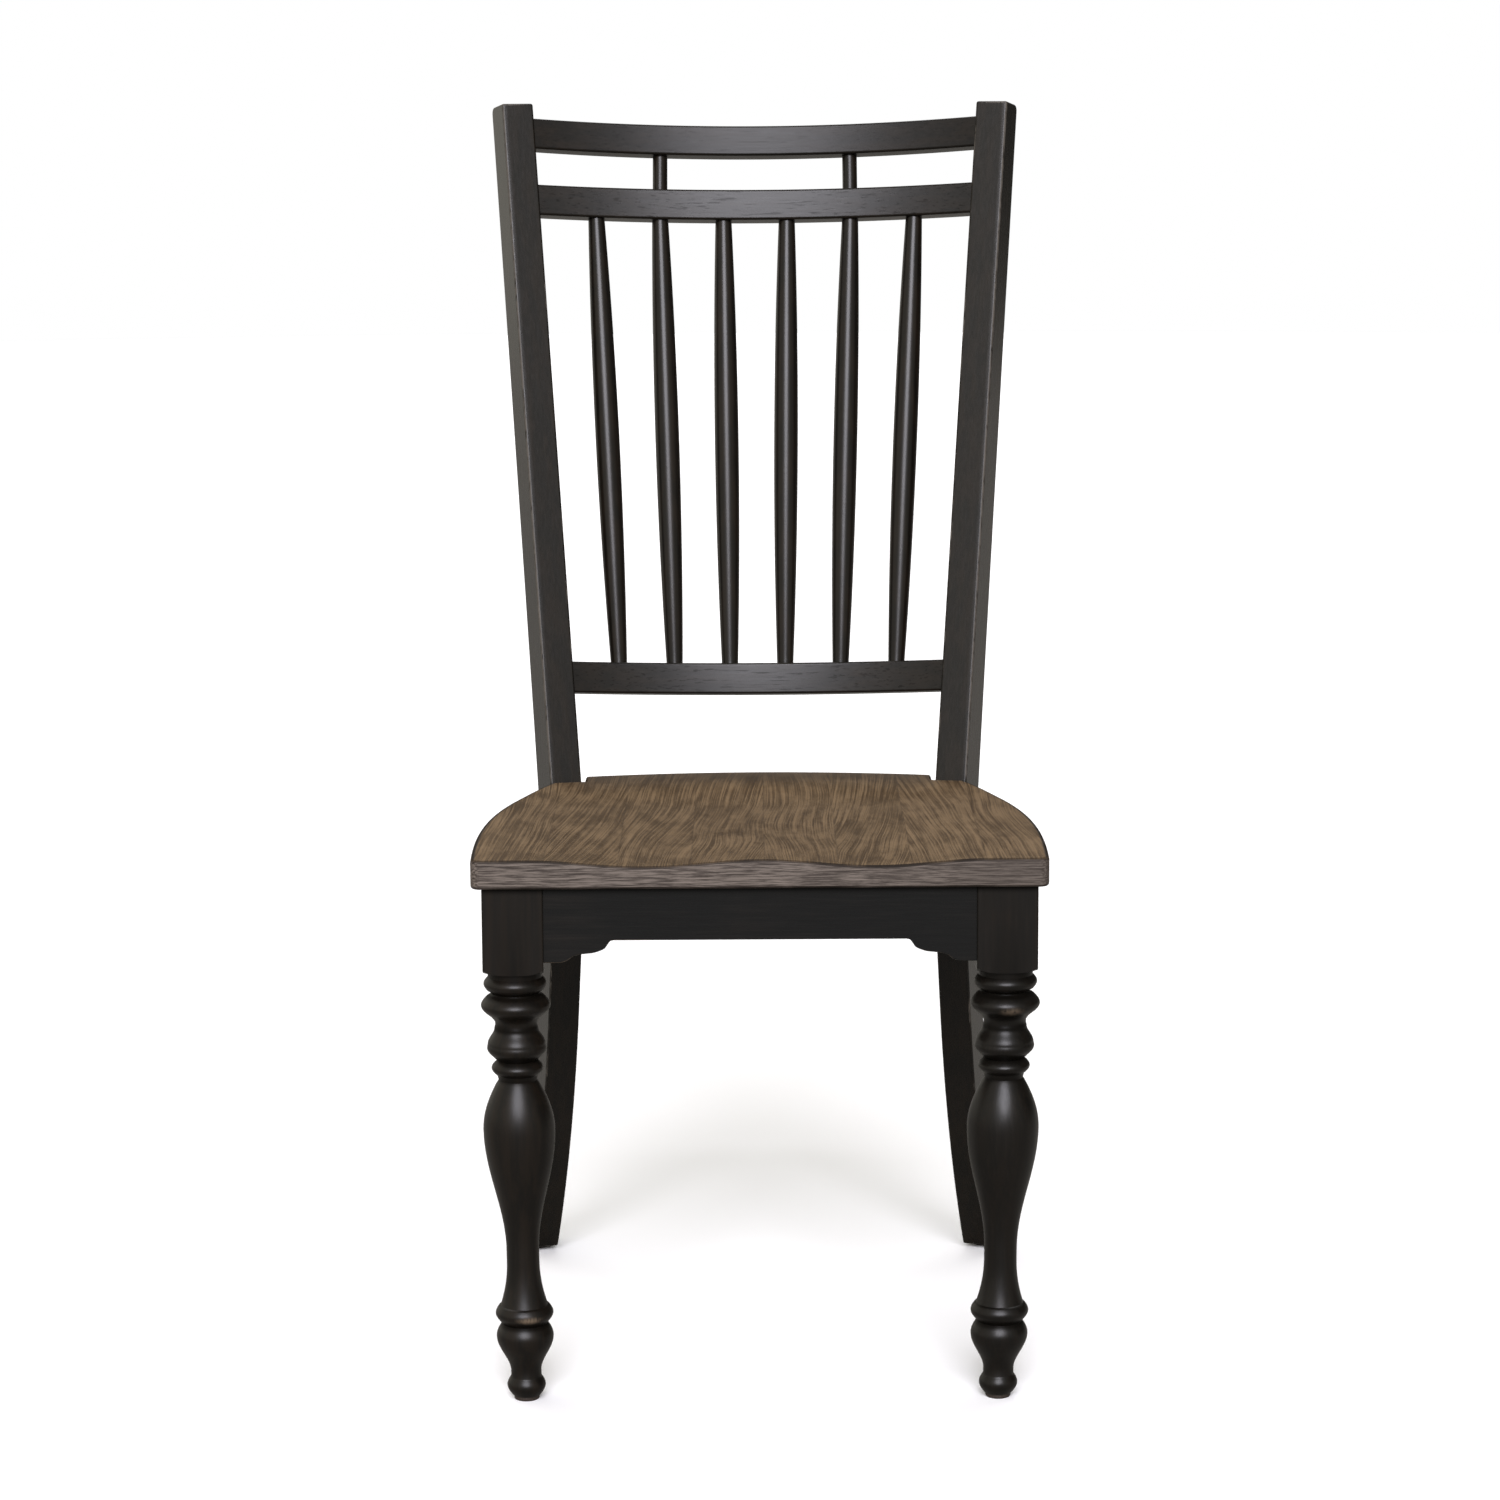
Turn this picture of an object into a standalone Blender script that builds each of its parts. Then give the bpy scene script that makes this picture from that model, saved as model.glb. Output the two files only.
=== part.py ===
"""Spindle back dining chair with a saddled seat, turned front legs and curved rear posts.

Metres, +Z up. The chair faces -Y, and left and right are as seen from the front.
The origin is on the floor at the centre of the chair's bounding box.
"""

import math

import bmesh
import bpy
from mathutils import Vector

# Fits
CLEARANCE = 0.0003
CUT_OVERRUN = 0.015
JOINT_LAP = 0.004

# Heights of the whole chair
OVERALL_HEIGHT = 1.067
SEAT_HEIGHT = 0.464
GLIDE_HEIGHT = 0.004

# Seat board
SEAT_THICKNESS = 0.0245
SEAT_HALF_WIDTH = 0.2369
SEAT_WIDEST_DEPTH = 0.080
SEAT_FRONT_SWEEP_RADIUS = 1.750
SEAT_SIDE_CURVE_SHARE = 0.54
SEAT_DEPTH_AT_POSTS = 0.386
SEAT_REAR_BOW = 0.020
SEAT_TONGUE_GAP = 0.0025
SEAT_CORNER_RADIUS = 0.008
SEAT_EDGE_EASE = 0.0025
SADDLE_HALF_WIDTH = 0.190
THIGH_DIP = 0.0054
DISH_DIP = 0.0080
DISH_START_DEPTH = 0.030
DISH_FULL_DEPTH = 0.210
DISH_FADE_DEPTH = 0.280
DISH_END_DEPTH = 0.360
REAR_RIM_RISE = 0.0020
SEAT_COLUMN_COUNT = 22
SEAT_ROW_COUNT = 14

# Rear posts: planks sawn to a curve, standing in vertical planes that open out to the rear
POST_INSET = 0.0783
POST_SETBACK = 0.3595
POST_TURN_DEG = 17.5
POST_RAKE_DEG = 13.15
POST_LEG_SLOPE_DEG = 10.8
POST_WIDTH = 0.0288
POST_KNEE_DROP = 0.0533
POST_KNEE_RADIUS = 0.300
POST_SABRE_HEIGHT = 0.250
POST_SABRE_RADIUS = 0.832
POST_TOP_DEPTH = 0.040
POST_KNEE_DEPTH = 0.052
POST_FOOT_DEPTH = 0.038
POST_TOP_SLOPE_DEG = 6.3
POST_TOP_CORNER_RADIUS = 0.006
POST_EDGE_EASE = 0.0015

# Bowed rails of the back
RAIL_THICKNESS = 0.0215
RAIL_SETBACK = 0.0025
RAIL_EDGE_RADIUS = 0.0025
CREST_DROP = 0.013
CREST_HEIGHT = 0.0275
CREST_BOW = 0.038
UPPER_RAIL_GAP = 0.033
UPPER_RAIL_HEIGHT = 0.0278
LOWER_RAIL_RISE = 0.0823
LOWER_RAIL_HEIGHT = 0.0282
SPINDLE_RAIL_BOW = 0.030
RAIL_TENON_LENGTH = 0.018
RAIL_TENON_THICKNESS = 0.009
RAIL_TENON_MARGIN = 0.005
RAIL_STATION_COUNT = 18

# Spindles
SPINDLE_COUNT = 6
SPINDLE_LOWER_MARGIN = 0.0412
SPINDLE_UPPER_MARGIN = 0.0500
SPINDLE_END_RADIUS = 0.0074
SPINDLE_BELLY_RADIUS = 0.0109
SPINDLE_TENON_RADIUS = 0.0050
SPINDLE_TENON_LENGTH = 0.010
SHORT_SPINDLE_RADIUS = 0.0067
SHORT_SPINDLE_PLACES = (1, 4)
SPINDLE_RING_COUNT = 12
SPINDLE_SIDE_COUNT = 12

# Front legs
LEG_BLOCK_SIZE = 0.0500
LEG_BLOCK_INSET = 0.0351
LEG_BLOCK_SETBACK = 0.0065
LEG_BLOCK_HEIGHT = 0.0727
LEG_SHOULDER_HEIGHT = 0.0070
LEG_MAX_RADIUS = 0.0297
LEG_FOOT_INSET = 0.0048
LEG_SIDE_COUNT = 20
SHOULDER_SIDE_COUNT = 32

# The turned stretch of a front leg, from the block down to the foot. Each row is a form,
# the height where it ends as a share of the turned length, the radius there as a share of
# the largest radius, and for a bead or a cove its swell as a share of the largest radius.
LEG_TOP_RADIUS_SHARE = 0.755
LEG_PROFILE_SHARES = (
    ("straight", 0.986, 0.755, 0.0),
    ("bead", 0.956, 0.79, 0.105),
    ("cove", 0.9405, 0.80, -0.12),
    ("bead", 0.8955, 0.72, 0.205),
    ("cove", 0.868, 0.61, -0.070),
    ("ease", 0.829, 0.81, 0.0),
    ("bead", 0.8025, 0.69, 0.070),
    ("straight", 0.7915, 0.555, 0.0),
    ("bead", 0.7565, 0.565, 0.16),
    ("straight", 0.7455, 0.535, 0.0),
    ("swell", 0.629, 1.00, 0.0),
    ("ease", 0.3445, 0.457, 0.0),
    ("straight", 0.315, 0.457, 0.0),
    ("flare", 0.2145, 0.66, 0.0),
    ("straight", 0.2125, 0.71, 0.0),
    ("bead", 0.177, 0.69, 0.11),
    ("straight", 0.171, 0.64, 0.0),
    ("swell", 0.141, 0.80, 0.0),
    ("ease", 0.0555, 0.425, 0.0),
    ("straight", 0.044, 0.43, 0.0),
    ("bead", 0.0, 0.40, 0.125),
)
LEG_FORM_STEPS = {"straight": 1, "bead": 5, "cove": 3, "ease": 6, "swell": 4, "flare": 3}

# Aprons
APRON_THICKNESS = 0.020
APRON_HEIGHT = 0.0441
APRON_SETBACK = 0.003
APRON_TENON_LENGTH = 0.014
APRON_TENON_THICKNESS = 0.008
APRON_TENON_HEIGHT = 0.028
SIDE_APRON_OUTSET = 0.0012
REAR_APRON_DEPTH_IN_POST = 0.028
REAR_APRON_THICKNESS = 0.018

# The bracket at each end of the front apron: its drop, its reach from the leg block, and
# its outline from the apron's straight edge to the block, as shares of that reach and drop.
BRACKET_DROP = 0.0186
BRACKET_REACH = 0.058
BRACKET_SHARES = (
    (1.00, 0.00),
    (0.95, 0.04),
    (0.91, 0.20),
    (0.86, 0.39),
    (0.73, 0.55),
    (0.60, 0.60),
    (0.50, 0.64),
    (0.42, 0.72),
    (0.35, 0.88),
    (0.27, 0.98),
    (0.18, 1.00),
)

# Corner blocks and the screws that hold the seat
CORNER_BLOCK_HEIGHT = 0.030
CORNER_BLOCK_FRONT_NEAR = 0.056
CORNER_BLOCK_FRONT_FAR = 0.088
CORNER_BLOCK_REAR_NEAR = 0.036
CORNER_BLOCK_REAR_FAR = 0.066
SCREW_SHANK_RADIUS = 0.0022
SCREW_HEAD_RADIUS = 0.0045
SCREW_HEAD_HEIGHT = 0.0030
SCREW_GRIP = 0.014

# Glides under the feet
FRONT_GLIDE_RADIUS = 0.0105
REAR_GLIDE_RADIUS = 0.0110
GLIDE_STEM_RADIUS = 0.0020
GLIDE_STEM_LENGTH = 0.012

ROUND_SIDE_COUNT = 16
LEFT, RIGHT = -1, 1
SIDE_NAMES = {LEFT: "left", RIGHT: "right"}

TURN = math.radians(POST_TURN_DEG)
RAKE = math.radians(POST_RAKE_DEG)
LEG_SLOPE = math.radians(POST_LEG_SLOPE_DEG)
TOP_FALL = math.tan(math.radians(POST_TOP_SLOPE_DEG))
BACK_TILT = math.atan(math.tan(RAKE) * math.cos(TURN))
SEAT_UNDERSIDE = SEAT_HEIGHT - SEAT_THICKNESS
FRAME_TOP = SEAT_UNDERSIDE - CLEARANCE
POST_HALF_GAP = SEAT_HALF_WIDTH - POST_INSET
LEG_BLOCK_HALF_SPAN = SEAT_HALF_WIDTH - LEG_BLOCK_INSET
LEG_BLOCK_BOTTOM = FRAME_TOP - LEG_BLOCK_HEIGHT


def clear_scene():
    """Remove every object that the scene starts with."""
    for item in list(bpy.data.objects):
        bpy.data.objects.remove(item, do_unlink=True)


def paint(item, colour, roughness, metallic=0.0):
    """Give an object its own material."""
    material = bpy.data.materials.new(item.name + "_finish")
    material.use_nodes = True
    shader = material.node_tree.nodes["Principled BSDF"]
    shader.inputs["Base Color"].default_value = (*colour, 1.0)
    shader.inputs["Roughness"].default_value = roughness
    shader.inputs["Metallic"].default_value = metallic
    item.data.materials.append(material)


def black(item):
    """Worn black paint."""
    paint(item, (0.030, 0.027, 0.023), 0.45)


def brown(item):
    """Brown stained wood."""
    paint(item, (0.200, 0.125, 0.070), 0.40)


def plain_wood(item):
    """Bare wood of the hidden blocks."""
    paint(item, (0.420, 0.290, 0.170), 0.70)


def steel(item):
    """Zinc plated steel."""
    paint(item, (0.560, 0.560, 0.570), 0.35, 1.0)


def add_object(name, mesh_data, smooth_deg=35.0):
    """Turn a bmesh into a linked object with its faces pointing out."""
    bmesh.ops.recalc_face_normals(mesh_data, faces=mesh_data.faces)
    mesh = bpy.data.meshes.new(name)
    mesh_data.to_mesh(mesh)
    mesh_data.free()
    mesh.shade_smooth()
    mesh.set_sharp_from_angle(angle=math.radians(smooth_deg))
    item = bpy.data.objects.new(name, mesh)
    bpy.context.scene.collection.objects.link(item)
    return item


def lofted(name, rings):
    """A closed solid through rings that all have as many points."""
    data = bmesh.new()
    loops = [[data.verts.new(point) for point in ring] for ring in rings]
    count = len(rings[0])
    for lower, upper in zip(loops, loops[1:]):
        for i in range(count):
            j = (i + 1) % count
            data.faces.new((lower[i], lower[j], upper[j], upper[i]))
    data.faces.new(loops[0])
    data.faces.new(loops[-1])
    return add_object(name, data)


def guide(item):
    """Hide a cutter or another helper solid."""
    item.hide_render = True
    item.display_type = "WIRE"
    return item


def combine(item, other, operation):
    """Leave a Boolean on an object, with a hidden second solid."""
    step = item.modifiers.new(operation.title() + "_" + other.name, "BOOLEAN")
    step.operation = operation
    step.solver = "EXACT"
    step.object = guide(other)


def box_in_axes(name, centre, axes, sizes):
    """A box with its sizes along three axes of its own."""
    x_half, y_half, z_half = [axis * (size / 2) for axis, size in zip(axes, sizes)]
    corners = ((-1, -1), (1, -1), (1, 1), (-1, 1))
    rings = [[centre + x_half * a + y_half * b + z_half * c for a, b in corners] for c in (-1, 1)]
    return lofted(name, rings)


def circle_ring(centre, radius, side_count, across=Vector((1, 0, 0)), along=Vector((0, 1, 0))):
    """The points of a round ring in the plane of two directions."""
    turns = [2 * math.pi * i / side_count for i in range(side_count)]
    return [centre + across * (radius * math.cos(a)) + along * (radius * math.sin(a)) for a in turns]


def filleted(before, corner, after, radius, steps):
    """The arc that rounds the corner of an outline."""
    to_before = (before - corner).normalized()
    to_after = (after - corner).normalized()
    half = to_before.angle(to_after) / 2
    start = corner + to_before * (radius / math.tan(half))
    centre = corner + (to_before + to_after).normalized() * (radius / math.sin(half))
    end = corner + to_after * (radius / math.tan(half))
    first, last = start - centre, end - centre
    sweep = first.angle(last)
    points = []
    for i in range(steps + 1):
        t = i / steps
        weight_first = math.sin((1 - t) * sweep) / math.sin(sweep)
        weight_last = math.sin(t * sweep) / math.sin(sweep)
        points.append(centre + first * weight_first + last * weight_last)
    return points


def smooth_step(value, low, high):
    """A blend from 0 at low to 1 at high."""
    t = min(max((value - low) / (high - low), 0.0), 1.0)
    return t * t * (3 - 2 * t)


def post_front_line():
    """A post's front edge from the foot to the top, as (distance back, height) in its plane."""
    knee = Vector((-math.tan(RAKE) * POST_KNEE_DROP, SEAT_HEIGHT - POST_KNEE_DROP))
    top = Vector((math.tan(RAKE) * (OVERALL_HEIGHT - SEAT_HEIGHT), OVERALL_HEIGHT))
    sabre_x = knee.x + math.tan(LEG_SLOPE) * (knee.y - POST_SABRE_HEIGHT)
    sabre = Vector((sabre_x, POST_SABRE_HEIGHT))
    centre = sabre + Vector((math.cos(LEG_SLOPE), math.sin(LEG_SLOPE))) * POST_SABRE_RADIUS
    foot_angle = math.asin((centre.y - GLIDE_HEIGHT) / POST_SABRE_RADIUS)
    steps = 8
    line = []
    for i in range(steps + 1):
        angle = foot_angle + (LEG_SLOPE - foot_angle) * i / steps
        line.append(centre - Vector((math.cos(angle), math.sin(angle))) * POST_SABRE_RADIUS)
    return line + filleted(sabre, knee, top, POST_KNEE_RADIUS, 6) + [top]


def post_depth_at(height):
    """The post's depth, square to its front edge, thickest at the knee."""
    knee_height = SEAT_HEIGHT - POST_KNEE_DROP
    if height > knee_height:
        share = (height - knee_height) / (OVERALL_HEIGHT - knee_height)
        return POST_KNEE_DEPTH + (POST_TOP_DEPTH - POST_KNEE_DEPTH) * math.sqrt(share)
    share = (knee_height - height) / knee_height
    return POST_KNEE_DEPTH + (POST_FOOT_DEPTH - POST_KNEE_DEPTH) * share


def post_outline(grow=0.0):
    """A post's front and rear edges, grown evenly, with a top that falls to the rear."""
    front = post_front_line()
    tangents = []
    for i, point in enumerate(front):
        before = front[max(i - 1, 0)]
        after = front[min(i + 1, len(front) - 1)]
        tangents.append((after - before).normalized())
    rears = []
    fronts = []
    for point, tangent in zip(front, tangents):
        square = Vector((tangent.y, -tangent.x))
        fronts.append(point - square * grow)
        rears.append(point + square * (post_depth_at(point.y) + grow))
    straight_rear = rears[-1] - rears[-2]
    below_top = front[-1].y - TOP_FALL * (rears[-2].x - front[-1].x) - rears[-2].y
    rears[-1] = rears[-2] + straight_rear * (below_top / (straight_rear.y + TOP_FALL * straight_rear.x))
    foot_height = front[0].y
    foot_rear = rears[1] - rears[0]
    rears[0] = rears[0] - foot_rear * ((rears[0].y - foot_height) / foot_rear.y)
    return fronts, rears


def post_point(side, back, height, out=0.0):
    """A point in a post: back along its plane, up, and out from its inner face."""
    x = POST_HALF_GAP + back * math.sin(TURN) + out * math.cos(TURN)
    y = FRONT_Y + POST_SETBACK + back * math.cos(TURN) - out * math.sin(TURN)
    return Vector((side * x, y, height))


def post_axes(side):
    """The directions out of a post's inner face, back through it and up along it."""
    out = Vector((side * math.cos(TURN), -math.sin(TURN), 0))
    back = Vector((side * math.sin(TURN), math.cos(TURN), 0))
    up = Vector((0, 0, 1))
    along = back * math.sin(RAKE) + up * math.cos(RAKE)
    across = back * math.cos(RAKE) - up * math.sin(RAKE)
    return out, across, along


def post_solid(name, side, grow, inner, outer):
    """A post, or a larger copy of it, between two distances from its inner face."""
    fronts, rears = post_outline(grow)
    corner = filleted(rears[-2], rears[-1], fronts[-1], POST_TOP_CORNER_RADIUS, 5)
    outline = fronts + list(reversed(corner)) + list(reversed(rears[:-1]))
    rings = [[post_point(side, p.x, p.y, out) for p in outline] for out in (inner, outer)]
    return lofted(name, rings)


def back_depth(back, rise):
    """How far behind the posts' front edges at the seat a place in the back's frame lies."""
    return rise * math.sin(BACK_TILT) + back * math.cos(BACK_TILT)


def back_point(x, back, rise):
    """A point in the back's own frame: across, square to the back, and up along it."""
    z = SEAT_HEIGHT + rise * math.cos(BACK_TILT) - back * math.sin(BACK_TILT)
    return Vector((x, FRONT_Y + POST_SETBACK + back_depth(back, rise), z))


BACK_NORMAL = Vector((0, math.cos(BACK_TILT), -math.sin(BACK_TILT)))
BACK_LENGTH = (OVERALL_HEIGHT - SEAT_HEIGHT) / math.cos(BACK_TILT)
CREST_BOTTOM = BACK_LENGTH - CREST_DROP - CREST_HEIGHT
UPPER_RAIL_BOTTOM = CREST_BOTTOM - UPPER_RAIL_GAP - UPPER_RAIL_HEIGHT
LOWER_RAIL_TOP = LOWER_RAIL_RISE + LOWER_RAIL_HEIGHT


def overall_depth():
    """From the seat's front edge to the rearmost of the posts and the crest rail."""
    post_rear = POST_SETBACK + max(p.x for p in post_outline()[1]) * math.cos(TURN)
    crest_rear = RAIL_SETBACK + CREST_BOW + RAIL_THICKNESS
    crest_top = CREST_BOTTOM + CREST_HEIGHT - RAIL_EDGE_RADIUS
    return max(post_rear, POST_SETBACK + back_depth(crest_rear, crest_top))


FRONT_Y = -overall_depth() / 2


def half_span(back, rise):
    """Half the room between the posts' inner faces at a place in the back's frame."""
    return POST_HALF_GAP + back_depth(back, rise) * math.tan(TURN)


def rail_back(x, rise, bow):
    """How far a bowed rail's front face lies behind the back's plane."""
    span = half_span(RAIL_SETBACK, rise)
    return RAIL_SETBACK + bow * (1 - (x / span) ** 2)


def rail_section(x, bottom, height, bow):
    """A rail's cross-section with eased edges."""
    front = rail_back(x, bottom + height / 2, bow)
    ease = RAIL_EDGE_RADIUS
    rear, top = front + RAIL_THICKNESS, bottom + height
    outline = (
        (front + ease, bottom), (rear - ease, bottom), (rear, bottom + ease), (rear, top - ease),
        (rear - ease, top), (front + ease, top), (front, top - ease), (front, bottom + ease),
    )
    return [back_point(x, back, rise) for back, rise in outline]


def rail_tenon(name, side, bottom, height, bow, grow):
    """The tenon at a rail's end, or its mortise when grown."""
    rise = bottom + height / 2
    back = RAIL_SETBACK + RAIL_THICKNESS / 2
    x = side * half_span(back, rise)
    seat_point = back_point(x, back, rise)
    out, across, along = post_axes(side)
    length = RAIL_TENON_LENGTH + JOINT_LAP + grow
    centre = seat_point + out * (RAIL_TENON_LENGTH + grow - length / 2)
    sizes = (
        length,
        RAIL_TENON_THICKNESS + 2 * grow,
        height - 2 * RAIL_TENON_MARGIN + 2 * grow,
    )
    return box_in_axes(name, centre, (out, across, along), sizes)


def make_rail(name, bottom, height, bow, posts, cutters):
    """A bowed rail coped to the posts, with a tenon let into each."""
    reach = half_span(RAIL_THICKNESS, bottom + height) + JOINT_LAP
    stations = [reach * (2 * i / RAIL_STATION_COUNT - 1) for i in range(RAIL_STATION_COUNT + 1)]
    rail = lofted(name, [rail_section(x, bottom, height, bow) for x in stations])
    for side in (LEFT, RIGHT):
        combine(rail, cutters[side], "DIFFERENCE")
    for side in (LEFT, RIGHT):
        label = name + "_" + SIDE_NAMES[side]
        combine(rail, rail_tenon(label + "_tenon", side, bottom, height, bow, 0.0), "UNION")
        mortise = rail_tenon(label + "_mortise", side, bottom, height, bow, CLEARANCE)
        combine(posts[side], mortise, "DIFFERENCE")
    black(rail)
    return rail


def spindle_places():
    """Each spindle's number of spacings from the chair's middle."""
    return [i - (SPINDLE_COUNT - 1) / 2 for i in range(SPINDLE_COUNT)]


def spindle_spacing(level, margin):
    """The spacing at a level that leaves a margin from the outer spindles to the posts."""
    return (half_span(RAIL_SETBACK, level) - margin) / spindle_places()[-1]


def spindle_axis_point(place, rise):
    """A point on a spindle's axis, or on the same line carried up to the crest."""
    low, high = LOWER_RAIL_TOP, UPPER_RAIL_BOTTOM
    ends = []
    for margin, level in ((SPINDLE_LOWER_MARGIN, low), (SPINDLE_UPPER_MARGIN, high)):
        x = place * spindle_spacing(level, margin)
        ends.append(Vector((x, rail_back(x, level, SPINDLE_RAIL_BOW) + RAIL_THICKNESS / 2)))
    point = ends[0] + (ends[1] - ends[0]) * ((rise - low) / (high - low))
    return back_point(point.x, point.y, rise)


def short_axis_point(place, rise):
    """A point on a short spindle's axis, from the upper rail to the crest."""
    low = UPPER_RAIL_BOTTOM + UPPER_RAIL_HEIGHT
    x = place * spindle_spacing(UPPER_RAIL_BOTTOM, SPINDLE_UPPER_MARGIN)
    starts = rail_back(x, low, SPINDLE_RAIL_BOW) + RAIL_THICKNESS / 2
    ends = rail_back(x, CREST_BOTTOM, CREST_BOW) + RAIL_THICKNESS / 2
    share = (rise - low) / (CREST_BOTTOM - low)
    return back_point(x, starts + (ends - starts) * share, rise)


def round_stick(name, axis_point, place, stations):
    """A round solid along an axis, from (rise, radius) stations."""
    across = Vector((1, 0, 0))
    rings = []
    for rise, radius in stations:
        centre = axis_point(place, rise)
        rings.append(circle_ring(centre, radius, SPINDLE_SIDE_COUNT, across, BACK_NORMAL))
    return lofted(name, rings)


def make_stick(name, axis_point, place, body, rails):
    """A spindle with a round tenon in a drilled socket at each end."""
    low, high = body[0][0], body[-1][0]
    tenon = SPINDLE_TENON_RADIUS
    stations = [(low - SPINDLE_TENON_LENGTH, tenon), (low, tenon)]
    stations += body
    stations += [(high, tenon), (high + SPINDLE_TENON_LENGTH, tenon)]
    stick = round_stick(name, axis_point, place, stations)
    black(stick)
    bore = tenon + CLEARANCE
    depth = SPINDLE_TENON_LENGTH + CLEARANCE
    lap = JOINT_LAP
    sockets = (((low - depth, bore), (low + lap, bore)), ((high - lap, bore), (high + depth, bore)))
    for rail, socket, end in zip(rails, sockets, ("lower", "upper")):
        drill = round_stick(name + "_" + end + "_drill", axis_point, place, socket)
        combine(rail, drill, "DIFFERENCE")
    return stick


def make_spindles(rails):
    """The six swelled spindles and the two short ones above them."""
    low, high = LOWER_RAIL_TOP + CLEARANCE, UPPER_RAIL_BOTTOM - CLEARANCE
    swelled = []
    for i in range(SPINDLE_RING_COUNT + 1):
        t = i / SPINDLE_RING_COUNT
        swell = 1 - (2 * t - 1) ** 2
        radius = SPINDLE_END_RADIUS + (SPINDLE_BELLY_RADIUS - SPINDLE_END_RADIUS) * swell
        swelled.append((low + (high - low) * t, radius))
    places = spindle_places()
    for number, place in enumerate(places, start=1):
        pair = (rails["lower_rail"], rails["upper_rail"])
        make_stick("spindle_%d" % number, spindle_axis_point, place, swelled, pair)
    low = UPPER_RAIL_BOTTOM + UPPER_RAIL_HEIGHT + CLEARANCE
    high = CREST_BOTTOM - CLEARANCE
    straight = [(low, SHORT_SPINDLE_RADIUS), (high, SHORT_SPINDLE_RADIUS)]
    for name, place in zip(("left", "right"), SHORT_SPINDLE_PLACES):
        pair = (rails["upper_rail"], rails["crest_rail"])
        make_stick("short_spindle_" + name, short_axis_point, places[place], straight, pair)


def leg_axis(side, height):
    """The centre of a front leg: plumb in its block, then drawn in a little to the foot."""
    drop = max(LEG_BLOCK_BOTTOM - height, 0.0) / LEG_BLOCK_BOTTOM
    x = LEG_BLOCK_HALF_SPAN - LEG_FOOT_INSET * drop
    y = FRONT_Y + LEG_BLOCK_SETBACK + LEG_BLOCK_SIZE / 2
    return Vector((side * x, y, height))


def form_value(form, t, start, end, swell):
    """The radius along one form of a turning."""
    if form == "ease":
        return end + (start - end) * (1 + math.cos(math.pi * t)) / 2
    if form == "swell":
        return start + (end - start) * math.sin(math.pi * t / 2) ** 0.9
    if form == "flare":
        return start + (end - start) * t * t
    return start + (end - start) * t + swell * math.sin(math.pi * t)


def turned_profile():
    """The (height, radius) points of a front leg's turning, from the block to the foot."""
    length = LEG_BLOCK_BOTTOM - GLIDE_HEIGHT
    height_share, radius_share = 1.0, LEG_TOP_RADIUS_SHARE
    points = [(1.0, radius_share)]
    for form, end_height, end_radius, swell in LEG_PROFILE_SHARES:
        steps = LEG_FORM_STEPS[form]
        for i in range(1, steps + 1):
            t = i / steps
            height = height_share + (end_height - height_share) * t
            points.append((height, form_value(form, t, radius_share, end_radius, swell)))
        height_share, radius_share = end_height, end_radius
    return [(GLIDE_HEIGHT + length * h, LEG_MAX_RADIUS * r) for h, r in points]


def block_shoulder(side):
    """The turned cut that rounds the lower edge of a leg's square block."""
    neck = LEG_MAX_RADIUS * LEG_TOP_RADIUS_SHARE
    corner = LEG_BLOCK_SIZE / math.sqrt(2) + CLEARANCE
    stations = []
    steps = 5
    for i in range(steps + 1):
        angle = math.pi / 2 * i / steps
        radius = neck + (corner - neck) * math.sin(angle)
        rise = LEG_SHOULDER_HEIGHT * (1 - math.cos(angle))
        stations.append((LEG_BLOCK_BOTTOM + rise, radius))
    stations.append((FRAME_TOP + CUT_OVERRUN, corner))
    axis = leg_axis(side, LEG_BLOCK_BOTTOM)
    rings = [circle_ring(Vector((axis.x, axis.y, z)), r, SHOULDER_SIDE_COUNT) for z, r in stations]
    return lofted("shoulder_" + SIDE_NAMES[side], rings)


def make_front_leg(side):
    """A square block with a turned leg below it, one piece of wood."""
    name = "front_leg_" + SIDE_NAMES[side]
    axis = leg_axis(side, LEG_BLOCK_BOTTOM)
    height = FRAME_TOP - LEG_BLOCK_BOTTOM + CUT_OVERRUN
    centre = Vector((axis.x, axis.y, FRAME_TOP - height / 2))
    axes = (Vector((1, 0, 0)), Vector((0, 1, 0)), Vector((0, 0, 1)))
    leg = box_in_axes(name, centre, axes, (LEG_BLOCK_SIZE, LEG_BLOCK_SIZE, height))
    ease = leg.modifiers.new("Eased_edges", "BEVEL")
    ease.width = POST_EDGE_EASE
    ease.segments = 2
    combine(leg, block_shoulder(side), "INTERSECT")
    profile = turned_profile()
    rings = [circle_ring(leg_axis(side, z), r, LEG_SIDE_COUNT) for z, r in profile]
    top = circle_ring(leg_axis(side, LEG_BLOCK_BOTTOM + JOINT_LAP), profile[0][1], LEG_SIDE_COUNT)
    combine(leg, lofted("turning_" + SIDE_NAMES[side], [top] + rings), "UNION")
    black(leg)
    return leg


def make_post(side):
    """A rear post with a leg below the seat and a raked upright above it."""
    post = post_solid("rear_post_" + SIDE_NAMES[side], side, 0.0, 0.0, POST_WIDTH)
    ease = post.modifiers.new("Eased_edges", "BEVEL")
    ease.width = POST_EDGE_EASE
    ease.segments = 1
    ease.angle_limit = math.radians(40)
    black(post)
    return post


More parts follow.
